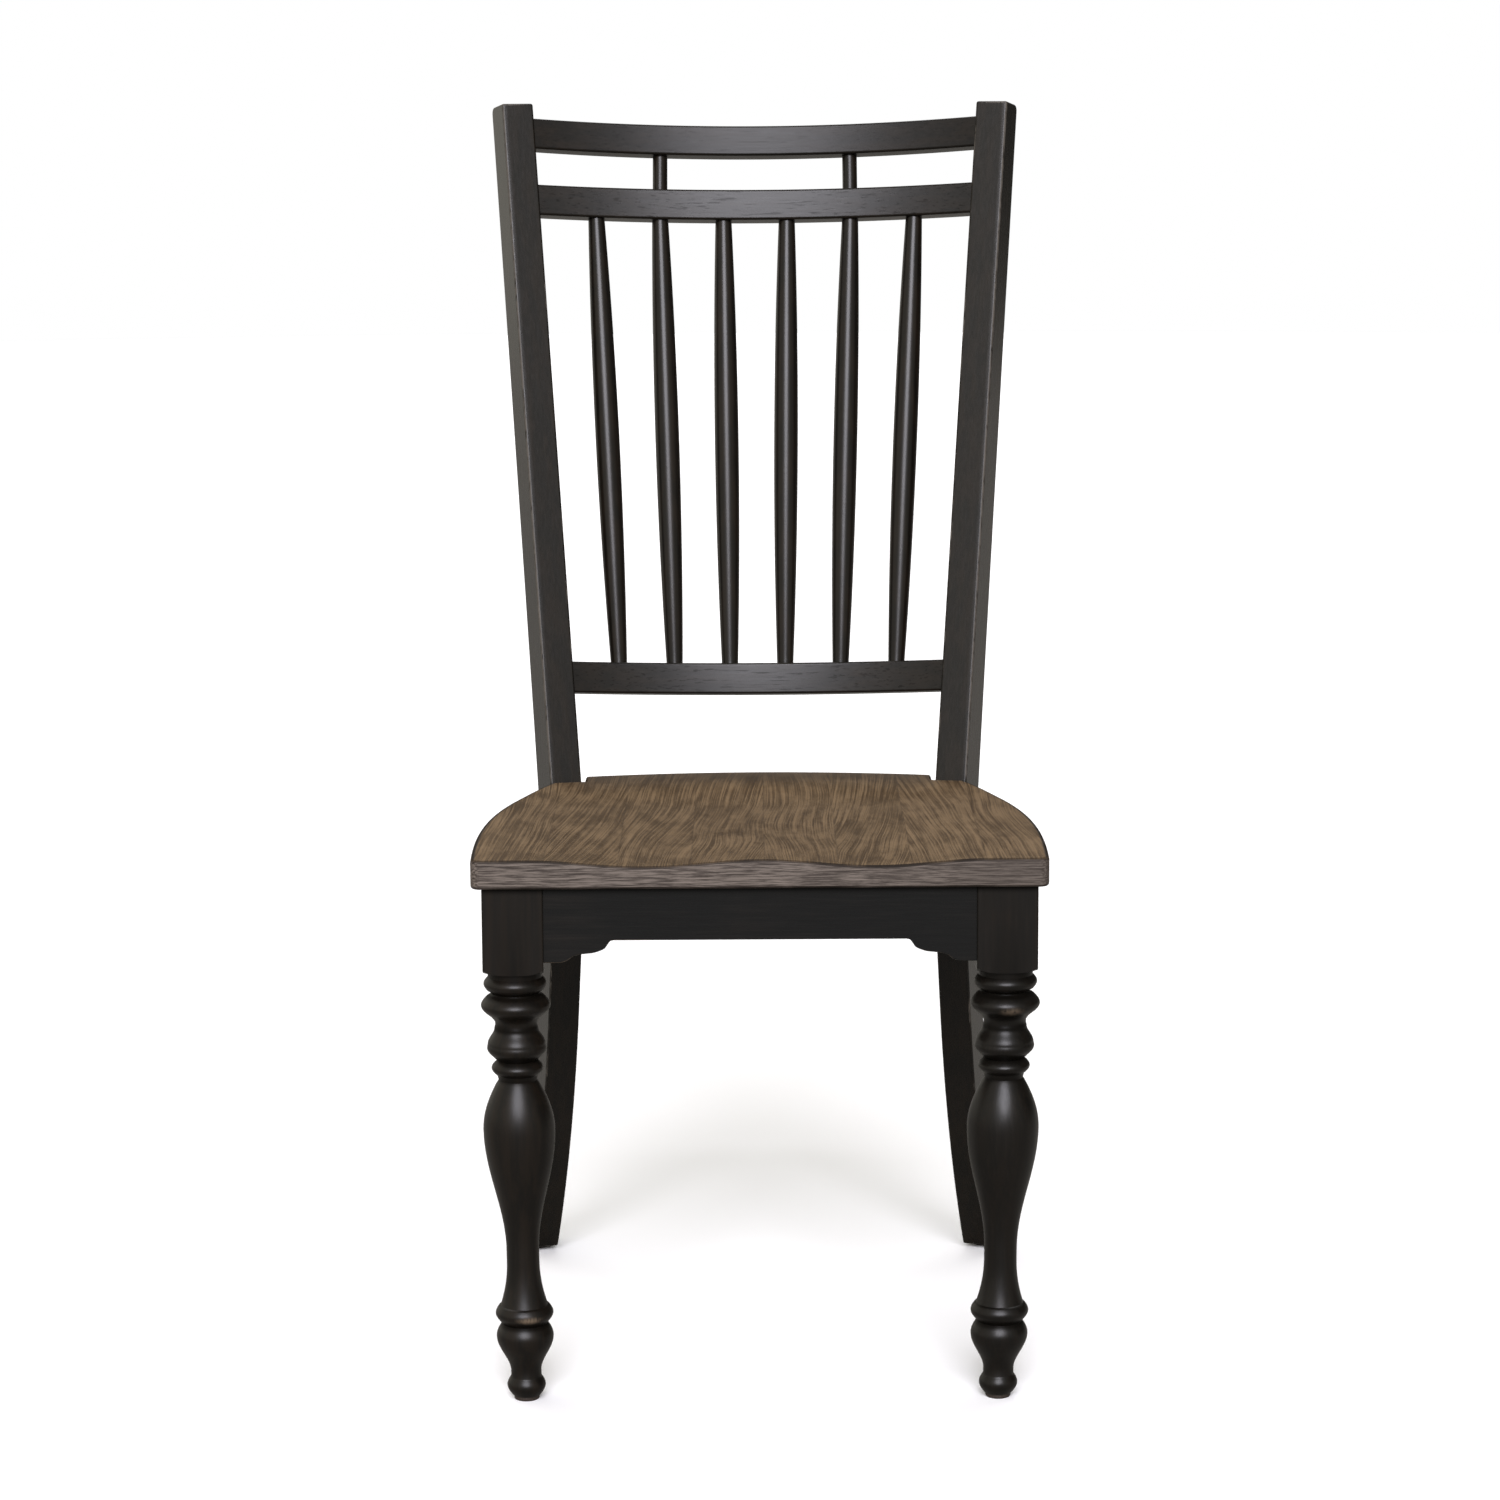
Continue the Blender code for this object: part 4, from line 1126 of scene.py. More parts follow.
    def finish(self, node: str, finish: Finish, grain: Grain, flat: bool = True) -> None:
        """Turn the blank into a finished piece in place of a node of the frame.

        Args:
            node: The node that the piece stands for.
            finish: Its finish.
            grain: The way its grain runs.
            flat: Whether it has broad flat faces to keep flat.
        """
        Blank.made_count += 1
        board = float(Blank.made_count)
        self.mark(Mark.BOARD, lambda point: board)
        data = bpy.data.meshes.new(node + "_piece")
        self.mesh.to_mesh(data)
        self.mesh.free()
        data.shade_smooth()
        data.set_sharp_from_angle(angle=LEAST_CREASE_ANGLE)
        data.materials.append(SHOP.material(finish, grain))
        piece = bpy.data.objects.new(node + "_piece", data)
        bpy.context.scene.collection.objects.link(piece)
        if flat:
            normals = piece.modifiers.new("flat_faces", "WEIGHTED_NORMAL")
            normals.keep_sharp = True
        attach(piece, BODY)
        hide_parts(node)
        LOG.info("%s: %d faces", piece.name, len(data.polygons))


@dataclass
class RearPosts:
    """The rear posts, each a leg and a back upright sawn from one plank."""

    knee_drop: float = 0.0533
    knee_radius: float = 0.300
    sabre_height: float = 0.250
    sabre_radius: float = 0.832
    top_depth: float = 0.040
    knee_depth: float = 0.052
    foot_depth: float = 0.038
    top_corner_radius: float = 0.006
    top_fall: float = math.tan(math.radians(6.3))
    edge_radius: float = 0.0030
    crown_width: float = 0.005
    crown_drop: float = 0.0004
    arris_wear_and_highlight: float = 0.30
    room_width: float = 0.060
    room_gap: float = 0.0002
    arc_steps: int = 26
    corner_steps: int = 8
    edge_steps: int = 5
    crown_steps: int = 5
    # The pale bare colour on the worn arrises also stands in for the highlight along the front outer arris.
    finish: WornPaint = WornPaint(bare=(0.215, 0.190, 0.160), warmth=0.25)

    def front_line(self) -> list[Vector]:
        """Trace a post's front edge from the foot to the top.

        Returns:
            Points of distance back and height, in the post's plane.
        """
        rake, slope = PLAN.post_rake, PLAN.leg_slope
        knee = Vector((-math.tan(rake) * self.knee_drop, PLAN.seat_height - self.knee_drop))
        rise = PLAN.overall_height - PLAN.seat_height
        top = Vector((math.tan(rake) * rise, PLAN.overall_height))
        sabre = Vector((knee.x + math.tan(slope) * (knee.y - self.sabre_height), self.sabre_height))
        centre = sabre + Vector((math.cos(slope), math.sin(slope))) * self.sabre_radius
        foot_angle = math.asin((centre.y - PLAN.glide_height) / self.sabre_radius)
        line = []
        for i in range(self.arc_steps + 1):
            angle = foot_angle + (slope - foot_angle) * i / self.arc_steps
            line.append(centre - Vector((math.cos(angle), math.sin(angle))) * self.sabre_radius)
        return [*line, *filleted(sabre, knee, top, self.knee_radius, self.arc_steps // 2), top]

    def depth_at(self, height: float) -> float:
        """Find the post's depth, square to its front edge and thickest at the knee.

        Args:
            height: The height above the floor.

        Returns:
            The depth.
        """
        knee_height = PLAN.seat_height - self.knee_drop
        if height > knee_height:
            share = math.sqrt((height - knee_height) / (PLAN.overall_height - knee_height))
            return self.knee_depth + (self.top_depth - self.knee_depth) * share
        share = (knee_height - height) / knee_height
        return self.knee_depth + (self.foot_depth - self.knee_depth) * share

    def refined(self, line: list[Vector]) -> list[Vector]:
        """Add points along the straight upright, so that the rear edge can curve beside it."""
        start, end, count = line[-2], line[-1], self.arc_steps
        return [*line[:-1], *(start.lerp(end, i / count) for i in range(1, count + 1))]

    def outline(self, grow: float) -> list[Vector]:
        """Trace a post all round.

        Args:
            grow: How much wider it is at the front and the rear.

        Returns:
            The closed outline, in the post's plane.
        """
        front = self.refined(self.front_line())
        fronts, rears = [], []
        for i, point in enumerate(front):
            tangent = (front[min(i + 1, len(front) - 1)] - front[max(i - 1, 0)]).normalized()
            square = Vector((tangent.y, -tangent.x))
            fronts.append(point - square * grow)
            rears.append(point + square * (self.depth_at(point.y) + grow))
        highest = PLAN.overall_height - 2 * self.top_corner_radius
        rears = [p for p in rears if PLAN.glide_height < p.y < highest]
        foot_run, top_run = rears[0] - rears[1], rears[-1] - rears[-2]
        heel = rears[0] + foot_run * ((fronts[0].y - rears[0].y) / foot_run.y)
        short = fronts[-1].y - self.top_fall * (rears[-1].x - fronts[-1].x) - rears[-1].y
        top = rears[-1] + top_run * (short / (top_run.y + self.top_fall * top_run.x))
        corner = filleted(rears[-1], top, fronts[-1], self.top_corner_radius, self.corner_steps)
        return [*fronts, *reversed(corner), *reversed(rears), heel]

    def solid(self, side: Side, grow: float, inner: float, outer: float) -> Blank:
        """Saw a post, or a larger copy of it, between two distances from its inner face."""
        points = [PLAN.post_point(side, p.x, p.y, inner) for p in self.outline(grow)]
        return Blank.sawn(points, PLAN.out_of_post(side) * (outer - inner))

    def room(self, side: Side) -> Blank:
        """The space that a post takes out of the seat."""
        return self.solid(side, self.room_gap, -self.room_gap, self.room_width)

    def front_back_at(self, height: float) -> float:
        """Find how far back a post's front edge lies.

        Args:
            height: The height above the floor.

        Returns:
            The distance back along the post's plane.
        """
        line = self.front_line()
        for low, high in zip(line, line[1:]):
            if low.y <= height <= high.y:
                return low.x + (high.x - low.x) * (height - low.y) / (high.y - low.y)
        return 0.0

    def behind_front(self, point: Vector, side: Side) -> float:
        """How far a point lies behind a post's front edge, along the post's plane."""
        back = (point - PLAN.post_point(side, 0.0, 0.0)).dot(PLAN.back_of_post(side))
        return back - self.front_back_at(min(point.z, PLAN.overall_height))

    def crown(self, post: Blank, side: Side) -> None:
        """Let the outer part of a post's front face fall back a little towards its outer arris.

        Args:
            post: The post.
            side: The side it stands on.
        """
        out, back = PLAN.out_of_post(side), PLAN.back_of_post(side)
        start = PLAN.post_point(side, 0.0, 0.0)
        flat = PLAN.post_width - self.crown_width
        for i in range(self.crown_steps - 1):
            post.slice(start + out * (flat + self.crown_width * i / self.crown_steps), out)
        for vert in post.mesh.verts:
            share = ((vert.co - start).dot(out) - flat) / self.crown_width
            if share > 0 and self.behind_front(vert.co, side) < self.crown_drop:
                vert.co += back * (self.crown_drop * share * share)

    def arris_wear_and_highlight_at(self, point: Vector, side: Side) -> float:
        """Find how worn a post is, in a pale line that is partly a painted highlight: only along its front
        outer arris, above the seat.

        Args:
            point: The place.
            side: The side the post stands on.

        Returns:
            The amount of wear and painted highlight.
        """
        out = (point - PLAN.post_point(side, 0.0, 0.0)).dot(PLAN.out_of_post(side))
        is_outer = out > PLAN.post_width / 2 and point.z > PLAN.seat_height
        return self.arris_wear_and_highlight if is_outer and self.behind_front(point, side) < self.edge_radius else 0.0

    def build(self) -> None:
        """Make both posts."""
        for side in Side:
            post = self.solid(side, 0.0, 0.0, PLAN.post_width)
            self.crown(post, side)
            post.ease(self.edge_radius, self.edge_steps)
            # A pale worn line along the front outer arris, partly a painted highlight.
            post.mark(Mark.RUB, lambda point: self.arris_wear_and_highlight_at(point, side), arris_only=True)
            post.finish("rear_post_" + side.label, self.finish, Grain.UPRIGHT)


@dataclass(frozen=True)
class Rail:
    """One bowed rail of the back, placed by its lower edge."""

    node: str
    bottom: float
    height: float
    bow: float
    finish: WornPaint
    spots: tuple[Spot, ...] = ()


@dataclass
class Back:
    """The bowed rails and the spindles between them."""

    thickness: float = 0.0215
    setback: float = 0.0025
    edge_radius: float = 0.0022
    crest_drop: float = 0.013
    crest_height: float = 0.0275
    crest_bow: float = 0.038
    upper_gap: float = 0.033
    upper_height: float = 0.0278
    lower_rise: float = 0.0823
    lower_height: float = 0.0282
    spindle_bow: float = 0.030
    spindle_count: int = 6
    lower_margin: float = 0.0412
    upper_margin: float = 0.0500
    end_radius: float = 0.0074
    belly_radius: float = 0.0109
    short_radius: float = 0.0067
    short_places: tuple[int, int] = (1, 4)
    crest_spot: Spot = Spot((-0.1545, 0.2245, 1.0215), 0.014, 0.008, 0.8)
    bury: float = 0.002
    edge_steps: int = 3
    rail_steps: int = 48
    stick_steps: int = 48
    round_steps: int = 40
    crest_finish: WornPaint = WornPaint(roughness=0.330, sheen_level=0.235, warmth=0.25, pores=0.3)
    upper_finish: WornPaint = WornPaint(roughness=0.292, sheen_level=0.27, warmth=0.25, pores=0.5)
    lower_finish: WornPaint = WornPaint(roughness=0.302, sheen_level=0.30, warmth=0.25, pores=0.5)
    stick_finish: SatinPaint = SatinPaint(warmth=0.30)

    @property
    def crest_bottom(self) -> float:
        """How far up the back the crest rail starts."""
        return PLAN.back_length - self.crest_drop - self.crest_height

    @property
    def upper_bottom(self) -> float:
        """How far up the back the upper rail starts."""
        return self.crest_bottom - self.upper_gap - self.upper_height

    def rails(self) -> list[Rail]:
        """List the rails.

        Returns:
            The three rails, from the top down.
        """
        crest = (self.crest_bottom, self.crest_height, self.crest_bow, self.crest_finish)
        upper = (self.upper_bottom, self.upper_height, self.spindle_bow, self.upper_finish)
        lower = (self.lower_rise, self.lower_height, self.spindle_bow, self.lower_finish)
        return [
            Rail("crest_rail", *crest, (self.crest_spot,)),
            Rail("upper_rail", *upper),
            Rail("lower_rail", *lower),
        ]

    def rail_back(self, x: float, rise: float, bow: float) -> float:
        """How far a bowed rail's front face lies behind the back's plane."""
        return self.setback + bow * (1 - (x / PLAN.half_span(self.setback, rise)) ** 2)

    def make_rail(self, rail: Rail) -> None:
        """Shape one rail and cope it to the posts.

        Args:
            rail: The rail.
        """
        reach = PLAN.half_span(self.thickness, rail.bottom + rail.height) + self.edge_radius
        middle = rail.bottom + rail.height / 2
        place = Matrix.Translation((0, self.thickness / 2, middle))
        blank = Blank.board((2 * reach, self.thickness, rail.height), place)
        blank.ease(
            self.edge_radius, self.edge_steps,
            lambda edge: abs(edge.verts[0].co.x - edge.verts[1].co.x) > reach,
        )
        blank.slices(AXIS_X, -reach, reach, self.rail_steps)
        blank.bend(lambda p: Vector((p.x, p.y + self.rail_back(p.x, middle, rail.bow), p.z)))
        blank.move(PLAN.back_matrix()).cope()
        for spot in rail.spots:
            blank.mark(Mark.RUB, spot.amount_at, arris_only=True)
        blank.finish(rail.node, rail.finish, Grain.CROSSWISE)

    def places(self) -> list[float]:
        """Each spindle's number of spacings from the middle."""
        return [i - (self.spindle_count - 1) / 2 for i in range(self.spindle_count)]

    def spacing(self, level: float, margin: float) -> float:
        """The spindles' spacing at a level."""
        return (PLAN.half_span(self.setback, level) - margin) / self.places()[-1]

    def in_rail(self, x: float, level: float, bow: float) -> Vector:
        """The middle of a rail's thickness at a level, in the back's frame."""
        return Vector((x, self.rail_back(x, level, bow) + self.thickness / 2, level))

    def make_stick(self, node: str, low: Vector, high: Vector, radius_at: Callable[[float], float]) -> None:
        """Turn a stick between two points in the back's frame.

        Args:
            node: The node that it stands for.
            low: The middle of its lower end.
            high: The middle of its upper end.
            radius_at: Its radius at a share of its length.
        """
        run, steps = high - low, self.stick_steps
        profile = [(-self.bury, radius_at(0.0))]
        profile += [(run.length * i / steps, radius_at(i / steps)) for i in range(steps + 1)]
        profile += [(run.length + self.bury, radius_at(1.0))]
        turn = AXIS_Z.rotation_difference(run).to_matrix().to_4x4()
        stick = Blank.turned(profile, self.round_steps)
        stick.move(PLAN.back_matrix() @ Matrix.Translation(low) @ turn)
        stick.finish(node, self.stick_finish, Grain.UPRIGHT, flat=False)

    def swelled(self, share: float) -> float:
        """A long spindle's radius at a share of its length."""
        return self.end_radius + (self.belly_radius - self.end_radius) * (1 - (2 * share - 1) ** 2)

    def make_spindles(self) -> None:
        """Turn the six swelled spindles and the two short ones above them."""
        low, high = self.lower_rise + self.lower_height, self.upper_bottom
        lower, upper = self.spacing(low, self.lower_margin), self.spacing(high, self.upper_margin)
        for number, place in enumerate(self.places(), start=1):
            start = self.in_rail(place * lower, low, self.spindle_bow)
            end = self.in_rail(place * upper, high, self.spindle_bow)
            self.make_stick(f"spindle_{number}", start, end, self.swelled)
        for side, number in zip(Side, self.short_places):
            x = self.places()[number] * upper
            start = self.in_rail(x, self.upper_bottom + self.upper_height, self.spindle_bow)
            end = self.in_rail(x, self.crest_bottom, self.crest_bow)
            self.make_stick("short_spindle_" + side.label, start, end, lambda share: self.short_radius)

    def build(self) -> None:
        """Make the rails and the spindles."""
        for rail in self.rails():
            self.make_rail(rail)
        self.make_spindles()


@dataclass
class FrontLegs:
    """The turned front legs with their square blocks."""

    shoulder_height: float = 0.0070
    max_radius: float = 0.0297
    foot_inset: float = 0.0048
    edge_radius: float = 0.0016
    overlap: float = 0.004
    edge_steps: int = 3
    grid_steps: int = 36
    round_steps: int = 72
    top_share: float = 0.755
    swell_power: float = 0.9
    profile_shares: tuple[tuple[Form, float, float, float], ...] = (
        (Form.STRAIGHT, 0.986, 0.755, 0.0),
        (Form.BEAD, 0.956, 0.79, 0.105),
        (Form.COVE, 0.9405, 0.80, -0.12),
        (Form.BEAD, 0.8955, 0.72, 0.205),
        (Form.COVE, 0.868, 0.61, -0.070),
        (Form.EASE, 0.829, 0.81, 0.0),
        (Form.BEAD, 0.8025, 0.69, 0.070),
        (Form.STRAIGHT, 0.7915, 0.555, 0.0),
        (Form.BEAD, 0.7565, 0.565, 0.16),
        (Form.STRAIGHT, 0.7455, 0.535, 0.0),
        (Form.SWELL, 0.629, 1.00, 0.0),
        (Form.EASE, 0.3445, 0.457, 0.0),
        (Form.STRAIGHT, 0.315, 0.457, 0.0),
        (Form.FLARE, 0.2145, 0.66, 0.0),
        (Form.STRAIGHT, 0.2125, 0.71, 0.0),
        (Form.BEAD, 0.177, 0.69, 0.11),
        (Form.STRAIGHT, 0.171, 0.64, 0.0),
        (Form.SWELL, 0.141, 0.80, 0.0),
        (Form.EASE, 0.0555, 0.425, 0.0),
        (Form.STRAIGHT, 0.044, 0.43, 0.0),
        (Form.BEAD, 0.0, 0.40, 0.125),
    )
    # Heights and reaches of the turning's grooves, painted darker as glaze and shade.
    grooves: tuple[tuple[float, float], ...] = (
        (0.993, 0.014), (0.945, 0.014), (0.868, 0.016), (0.797, 0.018), (0.750, 0.012), (0.171, 0.014),
    )
    spots: dict[Side, Spot] = field(default_factory=lambda: {
        Side.LEFT: Spot((-0.1935, -0.2630, 0.0735), 0.014, 0.0042, 0.9),
        Side.RIGHT: Spot((0.2050, -0.2680, 0.3350), 0.013, 0.005, 0.55),
    })
    finishes: dict[Side, WornPaint] = field(default_factory=lambda: {
        Side.LEFT: WornPaint(roughness=0.355, sheen_level=0.245, warmth=0.26, brush_depth=0.03, pores=0.0),
        Side.RIGHT: WornPaint(roughness=0.340, sheen_level=0.255, warmth=0.12, brush_depth=0.06, pores=0.1),
    })

    def radius_in(self, form: Form, share: float, start: float, end: float, swell: float) -> float:
        """Find the radius along one cut.

        Args:
            form: The kind of cut.
            share: The share of its length.
            start: The radius where it starts.
            end: The radius where it ends.
            swell: How far a bead stands out, or a cove goes in.

        Returns:
            The radius.
        """
        if form is Form.EASE:
            return end + (start - end) * (1 + math.cos(math.pi * share)) / 2
        if form is Form.SWELL:
            return start + (end - start) * math.sin(math.pi * share / 2) ** self.swell_power
        if form is Form.FLARE:
            return start + (end - start) * share * share
        return start + (end - start) * share + swell * math.sin(math.pi * share)

    def profile(self) -> list[tuple[float, float]]:
        """Trace the turning from the block down to the foot.

        Returns:
            Heights and radii.
        """
        length = PLAN.block_bottom - PLAN.glide_height
        height, radius = 1.0, self.top_share
        points = [(height, radius)]
        for form, end_height, end_radius, swell in self.profile_shares:
            for i in range(1, form.value + 1):
                share = i / form.value
                place = height + (end_height - height) * share
                points.append((place, self.radius_in(form, share, radius, end_radius, swell)))
            height, radius = end_height, end_radius
        return [(PLAN.glide_height + length * h, self.max_radius * r) for h, r in points]

    def groove_at(self, point: Vector) -> float:
        """How deep in one of the turning's grooves a height lies, where dark glaze and painted shade darken
        the paint.
        """
        share = (point.z - PLAN.glide_height) / (PLAN.block_bottom - PLAN.glide_height)
        return max(1 - smooth_step(abs(share - place), 0.0, reach) for place, reach in self.grooves)

    def axis_matrix(self, side: Side) -> Matrix:
        """Stand a turning under its block, drawn in a little to the foot.

        Args:
            side: The side of the leg.

        Returns:
            The turning's place and lean.
        """
        shear = Matrix.Identity(4)
        shear[0][2] = side.value * self.foot_inset / PLAN.block_bottom
        y = PLAN.front_y + PLAN.block_setback + PLAN.block_size / 2
        x = side.value * (PLAN.block_half_span - self.foot_inset)
        return Matrix.Translation((x, y, 0)) @ shear

    def block(self, side: Side) -> Blank:
        """Make the square block, its lower edge rounded on the lathe.

        Args:
            side: The side of the leg.

        Returns:
            The blank in its place.
        """
        half = PLAN.block_size / 2
        neck = self.max_radius * self.top_share
        corner = half * math.sqrt(2)
        blank = Blank()
        grid = bmesh.ops.create_grid(
            blank.mesh, x_segments=self.grid_steps, y_segments=self.grid_steps, size=half,
        )
        tops = blank.doubled()
        for vert in grid["verts"]:
            share = min(max((vert.co.xy.length - neck) / (corner - neck), 0.0), 1.0)
            vert.co.z = PLAN.block_bottom + self.shoulder_height * (1 - math.sqrt(1 - share * share))
        for vert in tops:
            vert.co.z = PLAN.frame_top
        blank.faced_out().ease(
            self.edge_radius, self.edge_steps,
            lambda edge: abs(edge.verts[0].co.z - edge.verts[1].co.z) > half,
        )
        y = PLAN.front_y + PLAN.block_setback + half
        return blank.move(Matrix.Translation((side.value * PLAN.block_half_span, y, 0)))

    def build(self) -> None:
        """Make both legs."""
        profile = self.profile()
        top = (PLAN.block_bottom + self.overlap, profile[0][1])
        for side in Side:
            turning = Blank.turned([top, *profile], self.round_steps).move(self.axis_matrix(side))
            leg = self.block(side).combine(turning, Joining.ADD)
            # Worn spots, then painted shade with glaze in the grooves and under the seat.
            leg.mark(Mark.RUB, self.spots[side].amount_at).mark(Mark.GROOVE, self.groove_at).shade()
            leg.finish("front_leg_" + side.label, self.finishes[side], Grain.UPRIGHT)


@dataclass
class Aprons:
    """The four aprons under the seat."""

    thickness: float = 0.020
    rear_thickness: float = 0.018
    setback: float = 0.003
    side_outset: float = 0.0012
    rear_depth_in_post: float = 0.028
    bracket_drop: float = 0.0186
    bracket_reach: float = 0.058
    edge_radius: float = 0.0010
    edge_steps: int = 3
    curve_steps: int = 4
    bracket_shares: tuple[tuple[float, float], ...] = (
        (1.00, 0.00), (0.95, 0.04), (0.91, 0.20), (0.86, 0.39), (0.73, 0.55), (0.60, 0.60),
        (0.50, 0.64), (0.42, 0.72), (0.35, 0.88), (0.27, 0.98), (0.18, 1.00),
    )
    posts: RearPosts = field(default_factory=RearPosts)
    finish: WornPaint = WornPaint(black=(0.0026, 0.0028, 0.0030), umber=(0.0075, 0.0062, 0.0055), warmth=0.0)

    @property
    def middle_height(self) -> float:
        """The height of the aprons' middle."""
        return PLAN.frame_top - PLAN.apron_height / 2

    @property
    def rear_depth(self) -> float:
        """The middle of the rear apron, behind the seat's front edge."""
        back = self.posts.front_back_at(self.middle_height) * math.cos(PLAN.post_turn)
        return PLAN.post_setback + back + self.rear_depth_in_post

    def side_ends(self, side: Side) -> tuple[Vector, Vector]:
        """Find the ends of a side apron's middle line.

        Args:
            side: The side of the chair.

        Returns:
            Where the line meets the leg block, and where it meets the post.
        """
        height = self.middle_height
        front = PLAN.front_y + PLAN.block_setback + PLAN.block_size
        start = Vector((side.value * (PLAN.block_half_span + self.side_outset), front, height))
        back = self.posts.front_back_at(height)
        return start, PLAN.post_point(side, back, height, PLAN.post_width / 2)

    def ease_below(self, apron: Blank, limit: float) -> None:
        """Round some of an apron's arrises.

        Args:
            apron: The apron.
            limit: The height that they lie below.
        """
        apron.ease(
            self.edge_radius, self.edge_steps,
            lambda edge: max(vert.co.z for vert in edge.verts) < limit,
        )

    def make_front(self) -> None:
        """Saw the front apron with a shaped bracket at each end."""
        half = PLAN.block_half_span - PLAN.block_size / 2 + PLAN.lap
        front = PLAN.front_y + PLAN.block_setback + self.setback
        bottom = PLAN.frame_top - PLAN.apron_height
        reach, drop = self.bracket_reach, self.bracket_drop
        shape = [Vector((half - reach * r, front, bottom - drop * d)) for r, d in self.bracket_shares]
        heights = (bottom - drop, PLAN.frame_top)
        end = [*curve_through(shape, self.curve_steps), *(Vector((half, front, z)) for z in heights)]
        mirrored = [Vector((-p.x, p.y, p.z)) for p in reversed(end)]
        apron = Blank.sawn([*end, *mirrored], AXIS_Y * self.thickness)
        self.ease_below(apron, PLAN.frame_top)
        # The top of the apron gets a painted line of shade under the seat.
        apron.shade().finish("front_apron", self.finish, Grain.CROSSWISE)

    def make_side(self, side: Side) -> None:
        """Make a side apron from the leg block to the post.

        Args:
            side: The side of the chair.
        """
        start, end = self.side_ends(side)
        run = end - start
        turn = AXIS_Y.rotation_difference(run).to_matrix().to_4x4()
        size = (self.thickness, run.length + self.thickness, PLAN.apron_height)
        apron = Blank.board(size, Matrix.Translation((start + end) / 2) @ turn)
        self.ease_below(apron, self.middle_height)
        apron.slice(Vector((0, start.y - PLAN.lap, 0)), -AXIS_Y, clear=True)
        low, high = (
            PLAN.post_point(side, self.posts.front_back_at(height), height)
            for height in (PLAN.frame_top - PLAN.apron_height, PLAN.frame_top)
        )
        face = (high - low).cross(PLAN.out_of_post(side)).normalized()
        face = face if face.y > 0 else -face
        apron.slice((low + high) / 2 + face * PLAN.lap, face, clear=True)
        apron.finish("side_apron_" + side.label, self.finish, Grain.LENGTHWISE)

    def make_rear(self) -> None:
        """Make the rear apron between the posts."""
        centre = Vector((0, PLAN.front_y + self.rear_depth, self.middle_height))
        rough_length = 4 * PLAN.post_half_gap
        size = (rough_length, self.rear_thickness, PLAN.apron_height)
        apron = Blank.board(size, Matrix.Translation(centre))
        self.ease_below(apron, self.middle_height)
        apron.cope().finish("rear_apron", self.finish, Grain.CROSSWISE)

    def build(self) -> None:
        """Make all four aprons."""
        self.make_front()
        for side in Side:
            self.make_side(side)
        self.make_rear()


